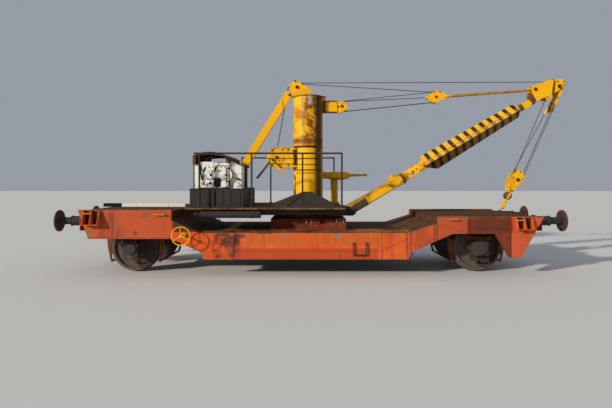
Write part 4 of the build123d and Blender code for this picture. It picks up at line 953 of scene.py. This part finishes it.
def smooth_path(corners, steps):
    """Points of a smooth curve through the corners."""
    ends = [2 * corners[0] - corners[1]] + list(corners) + [2 * corners[-1] - corners[-2]]
    out = [corners[0]]
    for a, b, c, d in zip(ends, ends[1:], ends[2:], ends[3:]):
        for k in range(1, steps + 1):
            t = k / steps
            bend = (2 * a - 5 * b + 4 * c - d) * t * t + (3 * b - a - 3 * c + d) * t ** 3
            out.append((2 * b + (c - a) * t + bend) / 2)
    return out


def resample(points, step):
    """Points at even steps along a path."""
    out = [points[0]]
    for a, b in zip(points, points[1:]):
        n = max(1, round((b - a).length / step))
        out += [a.lerp(b, k / n) for k in range(1, n + 1)]
    return out


def rope_mesh(bm, points, d, lay, strands):
    """A laid wire rope: a lobed section that turns along its path."""
    points = resample(points, lay / 6)
    per = 3
    sides = strands * per
    run = 0.0
    rings = []
    last = points[0]
    for p, (t, a, b) in zip(points, frames_along(points)):
        run += (p - last).length
        last = p
        spin = 2 * math.pi * run / lay
        ring = []
        for k in range(sides):
            turn = 2 * math.pi * k / sides + spin
            r = d / 2 * (1.0 if k % per else ROPE_LOBE)
            ring.append(bm.verts.new(p + a * (r * math.cos(turn)) + b * (r * math.sin(turn))))
        rings.append(ring)
    rings_to_faces(bm, rings)


def circle(bm, centre, a, b, r, sides):
    """Vertices of a circle across two directions."""
    turns = [2 * math.pi * k / sides for k in range(sides)]
    return [bm.verts.new(centre + a * (r * math.cos(turn)) + b * (r * math.sin(turn))) for turn in turns]


def tube_mesh(bm, points, radius, sides):
    """A round tube along points, with one radius or one for each point."""
    rings = []
    for i, (p, (t, a, b)) in enumerate(zip(points, frames_along(points))):
        r = radius[i] if isinstance(radius, (list, tuple)) else radius
        rings.append(circle(bm, p, a, b, r, sides))
    rings_to_faces(bm, rings)


def lathe_mesh(bm, centre, axis, profile, sides):
    """A turned piece: profile is (distance along the axis, radius), both in metres."""
    t = axis.normalized()
    a = t.orthogonal().normalized()
    b = t.cross(a)
    rings_to_faces(bm, [circle(bm, centre + t * along, a, b, r, sides) for along, r in profile])


def hex_bolt(bm, place, axis, across, high=0.014, proud=0.006):
    """A bolt's head on its washer, with a low chamfer and the thread's end."""
    r = across / 2
    profile = [(0.0, r * 1.35), (0.003, r * 1.35), (0.003, r), (high * 0.8, r), (high, r * 0.82)]
    lathe_mesh(bm, place, axis, profile, 6)
    lathe_mesh(bm, place + axis.normalized() * high * 0.9, axis, [(0, r * 0.5), (proud, r * 0.45)], 8)


def arc_points(centre, r, start, end, count, y):
    """Points of an arc in the wagon's X and Z, angles in degrees."""
    out = []
    for k in range(count + 1):
        a = math.radians(start + (end - start) * k / max(count, 1))
        out.append(at(centre[0] + r * math.cos(a), y, centre[1] + r * math.sin(a)))
    return out


def tangent_turn(p, r, q, s):
    """The angle, in degrees, at which a taut rope leaves one wheel and meets the next, left of its way."""
    way = Vector((q[0] - p[0], q[1] - p[1]))
    lean = (r - s) / way.length
    way.normalize()
    out = Vector((-way.y, way.x)) * math.sqrt(1 - lean * lean) + way * lean
    return math.degrees(math.atan2(out.y, out.x))


def over_wheels(wheels, last_turn=None):
    """A taut rope's points over wheels in turn, clockwise.

    Each wheel is X, Z, reach and y, and one with no reach is a point.
    """
    points = []
    meet = None
    for i, (x, z, reach, y) in enumerate(wheels):
        if i + 1 < len(wheels):
            ahead = wheels[i + 1]
            leave = tangent_turn((x, z), reach, ahead[:2], ahead[2])
        else:
            leave = last_turn
        if not reach:
            points.append(at(x, y, z))
        elif meet is None or leave is None:
            turn = leave if meet is None else meet
            points += arc_points((x, z), reach, turn, turn, 0, y)
        else:
            sweep = (meet - leave) % 360
            points += arc_points((x, z), reach, meet, meet - sweep, 10, y)
        meet = leave
    return points


def box_mesh(bm, low, high, bevel):
    """A block between two corner places, with its edges broken."""
    made = bmesh.ops.create_cube(bm, size=1.0)["verts"]
    mid = (low + high) / 2
    size = high - low
    for v in made:
        v.co = Vector((mid.x + v.co.x * size.x, mid.y + v.co.y * size.y, mid.z + v.co.z * size.z))
    edges = {e for v in made for e in v.link_edges}
    bmesh.ops.bevel(bm, geom=list(edges), offset=bevel, segments=2, profile=0.5, affect="EDGES")


# Operators, one for each piece or group of like pieces

class CRANE_OT_finishes(bpy.types.Operator):
    """Give every solid of the frame its finish."""
    bl_idname = "crane_car.finishes"
    bl_label = "Finish the solids"

    def execute(self, context):
        for name, solid in frame["nodes"].items():
            finish = finish_named(NODE_FINISH.get(name, slot_of_node(name)))
            for row in solid.material_slots:
                row.material = finish
        return {"FINISHED"}


class CRANE_OT_ropes(bpy.types.Operator):
    """Lay the taut wire ropes over their wheels."""
    bl_idname = "crane_car.ropes"
    bl_label = "Ropes"

    def rope(self, name, runs, body):
        settings = bpy.context.scene.crane_rope
        bm = bmesh.new()
        for points in runs:
            rope_mesh(bm, points, settings.rope_d, settings.lay, settings.strands)
        return mesh_object(name, bm, "wire_rope", body, smooth=True)

    def head_wheels(self, y):
        """From the winch's drum over the roller and the column's wheel."""
        drum = (WINCH_PIN[0] - DRUM_LEAD, WINCH_PIN[1] + DRUM_R, 0, y)
        return [drum, (*ROLLER, ROLLER_REACH, y), (*HEAD_PIN, HEAD_REACH, y)]

    def execute(self, context):
        tip = (*HOIST_PIN, SHEAVE_R, -FALL_Y)
        path = over_wheels(self.head_wheels(-HEAD_Y) + [tip], -math.degrees(FALL_LEAN))
        hoist = self.rope("hoist_rope", [path], None)
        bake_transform(hoist)
        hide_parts("hoist_lead")
        self.luffing()
        self.falls()
        return {"FINISHED"}

    def luffing(self):
        """The lead and the falls of the luffing tackle, and the turns round its block that move with it."""
        block_far = (*TACKLE_PIN, SHEAVE_R, LUFF_Y)
        block_near = (*TACKLE_PIN, SHEAVE_R, -LUFF_Y)
        arm_far = (*ARM_PIN, ARM_REACH, LUFF_Y)
        arm_near = (*ARM_PIN, ARM_REACH, -LUFF_Y)
        lead_path = over_wheels(self.head_wheels(HEAD_Y) + [block_far])
        lead = self.rope("luffing_lead", [lead_path], None)

        def follow(piece):
            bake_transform(piece)

        follow(lead)
        way = Vector((ARM_PIN[0] - BECKET[0], ARM_PIN[1] + ARM_REACH - BECKET[1])).normalized()
        socket = (BECKET[0] + way.x * SOCKET_L, BECKET[1] + way.y * SOCKET_L, 0, LUFF_Y)
        near = over_wheels([block_near, arm_near, block_near])
        far = over_wheels([block_far, arm_far, socket])
        falls = self.rope("luffing_falls", [near, far], None)
        follow(falls)
        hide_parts("luffing_ropes")
        turns = [arc_points(TACKLE_PIN, SHEAVE_R, 94, -96, 14, y) for y in (-LUFF_Y, LUFF_Y)]
        self.rope("luffing_block_turns", turns, "tackle")

    def falls(self):
        """The hoist rope down to the block and back to its dead end, through both wheels of each."""
        def turn(w, start, end, y):
            angles = [math.radians(start + (end - start) * k / 14) for k in range(15)]
            return [on_block(SHEAVE_R * math.cos(a), w + SHEAVE_R * math.sin(a), y) for a in angles]

        path = [on_block(SHEAVE_R, FALL_L, -FALL_Y)] + turn(0, 0, -180, -FALL_Y)
        path += turn(FALL_L, 180, 0, FALL_Y) + turn(0, 0, -180, FALL_Y) + [on_block(*DEAD_END, FALL_Y)]
        ropes = self.rope("fall_ropes", [path], None)
        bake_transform(ropes)
        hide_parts("hoist_falls")


class CRANE_OT_windings(bpy.types.Operator):
    """Wind the ropes on the winch's drum."""
    bl_idname = "crane_car.windings"
    bl_label = "Windings"

    def execute(self, context):
        pitch = context.scene.crane_rope.rope_d * 1.06
        turns = int(2 * DRUM_HALF_W / 1000 / pitch)
        profile = [(-DRUM_HALF_W / 1000, 0.12)]
        for i in range(turns):
            for share, rise in ((0.08, 0.004), (0.28, 0.013), (0.5, 0.0165), (0.72, 0.013), (0.92, 0.004)):
                profile.append((-DRUM_HALF_W / 1000 + (i + share) * pitch, DRUM_R / 1000 + rise))
        profile.append((DRUM_HALF_W / 1000, 0.12))
        bm = bmesh.new()
        lathe_mesh(bm, at(WINCH_PIN[0], 0, WINCH_PIN[1]), Vector((0, 1, 0)), profile, 48)
        mesh_object("drum_windings", bm, "wire_rope", "turntable", smooth=True)
        return {"FINISHED"}


class CRANE_OT_bolts(bpy.types.Operator):
    """Put the bolts, nuts and pin ends on every body."""
    bl_idname = "crane_car.bolts"
    bl_label = "Bolts and pin ends"

    # Each row: X, Z, the outer face's distance from the middle line and the size across flats
    COLUMN_BOLTS = (
        (-250, 4165, 112, 34), (-84, 4095, 112, 26), (20, 3850, 100, 24), (733, 3593, 60, 40),
        (706, 3660, 60, 24),
        (-760, 2591, 222, 34), (-520, 2601, 222, 34), (-400, 2601, 222, 34), (-400, 2245, 222, 34),
    )
    BOOM_BOLTS = (
        (5165, 3740, 130, 24), (5470, 3800, 130, 24), (5855, 4155, 108, 26), (5862, 4075, 108, 26),
        (5790, 3985, 108, 24),
    )
    TACKLE_BOLTS = ((2913, 3925, 60, 28), (3052, 3925, 60, 28), (2925, 3677, 60, 26), (3190, 3800, 60, 22))
    # Pin ends: X, Z, outer face and diameter
    COLUMN_PINS = ((*HEAD_PIN, 120, 74), (*ARM_PIN, 72, 58), (*WINCH_PIN, 222, 84), (-370, 3856, 75, 66))
    BOOM_PINS = ((*HOIST_PIN, 128, 88), (*LUFF_PIN, 148, 74))
    BLOCK_BOLTS = (
        (-10, 190, 100, 26), (-55, -275, 100, 24), (0, -275, 100, 24), (95, 60, 100, 22), (-110, 10, 100, 22))

    def both_sides(self, bm, place, half, maker, *sizes):
        for side in (-1, 1):
            spot = place.copy()
            spot.y = side * half / 1000
            maker(bm, spot, Vector((0, side, 0)), *[size / 1000 for size in sizes])

    def pin_end(self, bm, place, axis, d):
        r = d / 2
        profile = [(0, r), (0.008, r), (0.012, r * 0.86), (0.012, r * 0.3), (0.007, r * 0.2)]
        lathe_mesh(bm, place, axis, profile, 24)

    def execute(self, context):
        sets = (
            ("column_bolts", self.COLUMN_BOLTS, self.COLUMN_PINS, "turntable"),
            ("boom_bolts", self.BOOM_BOLTS, self.BOOM_PINS, "boom"),
            ("tackle_bolts", self.TACKLE_BOLTS, ((*TACKLE_PIN, 78, 58),), "tackle"),
        )
        for name, bolts, pins, body in sets:
            bm = bmesh.new()
            for x, z, half, size in bolts:
                self.both_sides(bm, at(x, 0, z), half, hex_bolt, size)
            for x, z, half, size in pins:
                self.both_sides(bm, at(x, 0, z), half, self.pin_end, size)
            mesh_object(name, bm, "rust_iron", body)
        bm = bmesh.new()
        for x, w, half, size in self.BLOCK_BOLTS:
            self.both_sides(bm, on_block(x, w), half, hex_bolt, size)
        self.both_sides(bm, on_block(0, 0), 120, self.pin_end, 78)
        mesh_object("block_bolts", bm, "rust_iron", "hook_block")
        self.wagon()
        return {"FINISHED"}

    def wagon(self):
        """Cover bolts of the axle boxes, and the bolts of the buffers' plates."""
        bm = bmesh.new()
        for axle_x in (-AXLE_X, AXLE_X):
            for turn in range(30, 390, 60):
                a = math.radians(turn)
                place = at(axle_x + BOX_BOLTS_R * math.cos(a), 0, WHEEL_R + BOX_BOLTS_R * math.sin(a))
                self.both_sides(bm, place, BOX_FACE_Y, hex_bolt, 28)
        for x, way in ((-4590, -1), (4790, 1)):
            for y in (-BUFFER_Y, BUFFER_Y):
                for dy, dz in ((-145, -55), (-145, 55), (145, -55), (145, 55)):
                    place = at(x, y + dy, BUFFER_Z + dz)
                    hex_bolt(bm, place, Vector((way, 0, 0)), 0.034, 0.018, 0.010)
        mesh_object("wagon_bolts", bm, "rust_iron", "wagon")


class CRANE_OT_engine_trim(bpy.types.Operator):
    """Run the belt, hoses and fuel pipes of the engine."""
    bl_idname = "crane_car.engine_trim"
    bl_label = "Engine trim"

    FACE_Y = -1030
    BELT_Y = -1068

    def execute(self, context):
        small, large = (-1961, 2020, 80), (-1649, 2020, 124)
        bm = bmesh.new()
        points = []
        for here, ahead in ((small, large), (large, small)):
            turn = tangent_turn(here[:2], here[2], ahead[:2], ahead[2])
            back = tangent_turn(ahead[:2], ahead[2], here[:2], here[2])
            sweep = (back - turn) % 360
            points += arc_points(here[:2], here[2], turn + 360 - sweep, turn, 16, self.BELT_Y)
        rings = []
        for i, p in enumerate(points):
            ahead = (points[(i + 1) % len(points)] - points[i - 1]).normalized()
            out = Vector((-ahead.z, 0, ahead.x))
            rings.append([bm.verts.new(p + out * dx + Vector((0, dy, 0)))
                          for dx, dy in ((-0.006, -0.006), (0.006, -0.010), (0.006, 0.010), (-0.006, 0.006))])
        rings_to_faces(bm, rings, closed=True)
        mesh_object("fan_belt", bm, "soot", "turntable")

        bm = bmesh.new()
        hoses = (
            ((-2180, -1000, 2210), (-2185, -1052, 2150), (-2175, -1066, 2060), (-2150, -1048, 1950),
             (-2147, -1048, 1905)),
            ((-1600, -1040, 2170), (-1592, -1075, 2120), (-1578, -1078, 1950), (-1590, -1050, 1850),
             (-1600, -1030, 1800)),
        )
        for hose in hoses:
            tube_mesh(bm, smooth_path([at(*p) for p in hose], 6), 0.017, 12)
        mesh_object("engine_hoses", bm, "soot", "turntable", smooth=True)

        bm = bmesh.new()
        for y in (-640, -140, 360):
            for x in (-1990, -1680):
                pipe = ((x, y - 40, 2120), (x - 20, y - 30, 2240), (-1830, y - 20, 2292), (-1830, y, 2268))
                tube_mesh(bm, smooth_path([at(*p) for p in pipe], 5), 0.006, 8)
        for x in range(-2180, -1580, 84):
            hex_bolt(bm, at(x, self.FACE_Y, 2184), NEAR, 0.020, 0.010, 0.004)
        for z in range(1790, 2150, 90):
            for x in (-2196, -1574):
                hex_bolt(bm, at(x, self.FACE_Y, z), NEAR, 0.020, 0.010, 0.004)
        for x, z, d in ((-1961, 2020, 50), (-1649, 2020, 62), (-1972, 1848, 60)):
            lathe_mesh(bm, at(x, self.FACE_Y - 70, z), NEAR,
                       [(0, d / 2000), (0.012, d / 2000), (0.016, d / 2600), (0.03, d / 4200)], 20)
        mesh_object("engine_fittings", bm, "rust_iron", "turntable")
        return {"FINISHED"}


class CRANE_OT_side_trim(bpy.types.Operator):
    """Weld beads on the sides, the pale strips on the slewing base and the loose bars."""
    bl_idname = "crane_car.side_trim"
    bl_label = "Side trim"

    # Beads as X and Z from end to end on each side plate
    BEADS = (
        ((-1430, 490), (1455, 490)), ((1475, 468), (2035, 745)), ((-2650, 735), (-2065, 455)),
        ((2650, 1040), (3215, 860)), ((-2690, 1100), (-2690, 740)), ((-4380, 760), (-2720, 760)),
    )

    def execute(self, context):
        for side, name in ((-1, "near"), (1, "far")):
            bm = bmesh.new()
            for start, end in self.BEADS:
                ends = [at(x, side * BEAD_Y, z) for x, z in (start, end)]
                points = resample(ends, 0.02)
                tube_mesh(bm, points, [0.0045 + 0.0015 * math.sin(2.1 * i) for i in range(len(points))], 6)
            mesh_object("side_beads_" + name, bm, "orange_paint", "wagon", smooth=True)
        bm = bmesh.new()
        tube_mesh(bm, [at(2118, -1392, 450), at(2120, -1396, 350), at(2124, -1394, 250)], 0.009, 10)
        boss = [(0, 0.02), (0.022, 0.02), (0.026, 0.012)]
        lathe_mesh(bm, at(2118, -1378, 448), NEAR, boss, 12)
        mesh_object("hanging_bar", bm, "rust_iron", "wagon", smooth=True)
        bm = bmesh.new()
        for x in (118, 646, 790):
            box_mesh(bm, at(x - 3, -793, 1010), at(x + 15, -787, 1088), 0.002)
        tube_mesh(bm, [at(13, -800, 1092), at(12, -800, 1000), at(14, -800, 975)], 0.007, 8)
        mesh_object("pale_strips", bm, "pale_strip", "wagon")
        bm = bmesh.new()
        box_mesh(bm, at(-4780, 322, 1291), at(-4350, 438, 1372), 0.006)
        mesh_object("beam_sleeve", bm, "soot", "wagon")
        return {"FINISHED"}


class CRANE_OT_stage(bpy.types.Operator):
    """Set the floor, the lights and the camera."""
    bl_idname = "crane_car.stage"
    bl_label = "Stage"

    def execute(self, context):
        s = context.scene.crane_stage
        scene = context.scene
        scene.view_settings.view_transform = "Standard"
        bm = bmesh.new()
        bmesh.ops.create_grid(bm, x_segments=1, y_segments=1, size=90)
        mesh = bpy.data.meshes.new("studio_floor")
        bm.to_mesh(mesh)
        bm.free()
        floor = bpy.data.objects.new("studio_floor", mesh)
        scene.collection.objects.link(floor)
        material = bpy.data.materials.new("Studio floor")
        material.use_nodes = True
        shader = material.node_tree.nodes["Principled BSDF"]
        shader.inputs["Base Color"].default_value = rgba(s.floor_colour)
        shader.inputs["Roughness"].default_value = 0.95
        mesh.materials.append(material)

        world = bpy.data.worlds.new("Studio")
        world.use_nodes = True
        sky = world.node_tree.nodes["Background"]
        sky.inputs["Color"].default_value = (0.80, 0.88, 1.0, 1.0)
        sky.inputs["Strength"].default_value = s.fill_strength
        scene.world = world

        light = bpy.data.lights.new("key", "SUN")
        light.energy = s.key_strength
        light.angle = math.radians(2.5)
        light.color = (1.0, 0.93, 0.80)
        key = bpy.data.objects.new("key", light)
        flat = math.cos(s.sun_elevation)
        across, back = math.sin(s.sun_turn) * flat, math.cos(s.sun_turn) * flat
        toward = Vector((-across, -back, math.sin(s.sun_elevation)))
        key.rotation_euler = toward.to_track_quat("Z", "Y").to_euler()
        scene.collection.objects.link(key)

        data = bpy.data.cameras.new("camera")
        data.sensor_width = 36
        data.lens = s.lens
        data.shift_y = s.shift_y
        data.clip_end = 300
        camera = bpy.data.objects.new("camera", data)
        camera.location = at(0, -s.camera_distance * 1000, s.camera_height * 1000)
        camera.rotation_euler = (math.radians(90), 0, 0)
        scene.collection.objects.link(camera)
        scene.camera = camera
        return {"FINISHED"}


class CRANE_PT_panel(bpy.types.Panel):
    """Lists the pieces and their settings."""
    bl_label = "Crane Car"
    bl_idname = "CRANE_PT_panel"
    bl_space_type = "VIEW_3D"
    bl_region_type = "UI"
    bl_category = "Crane Car"

    def draw(self, context):
        for settings in (context.scene.crane_paint, context.scene.crane_rope, context.scene.crane_stage):
            for name in settings.__annotations__:
                self.layout.prop(settings, name)
        for operator in OPERATORS:
            self.layout.operator(operator.bl_idname)


SETTINGS = {"crane_paint": PaintSettings, "crane_rope": RopeSettings, "crane_stage": StageSettings}
OPERATORS = [
    CRANE_OT_stage, CRANE_OT_finishes, CRANE_OT_ropes, CRANE_OT_windings, CRANE_OT_bolts,
    CRANE_OT_engine_trim, CRANE_OT_side_trim,
]


def register():
    for name, kind in SETTINGS.items():
        bpy.utils.register_class(kind)
        setattr(bpy.types.Scene, name, bpy.props.PointerProperty(type=kind))
    for kind in OPERATORS + [CRANE_PT_panel]:
        bpy.utils.register_class(kind)


def unregister():
    for kind in reversed(OPERATORS + [CRANE_PT_panel]):
        bpy.utils.unregister_class(kind)
    for name, kind in reversed(list(SETTINGS.items())):
        delattr(bpy.types.Scene, name)
        bpy.utils.unregister_class(kind)


def main():
    register()
    for operator in OPERATORS:
        area, name = operator.bl_idname.split(".")
        getattr(getattr(bpy.ops, area), name)()


if __name__ == "__main__":
    main()
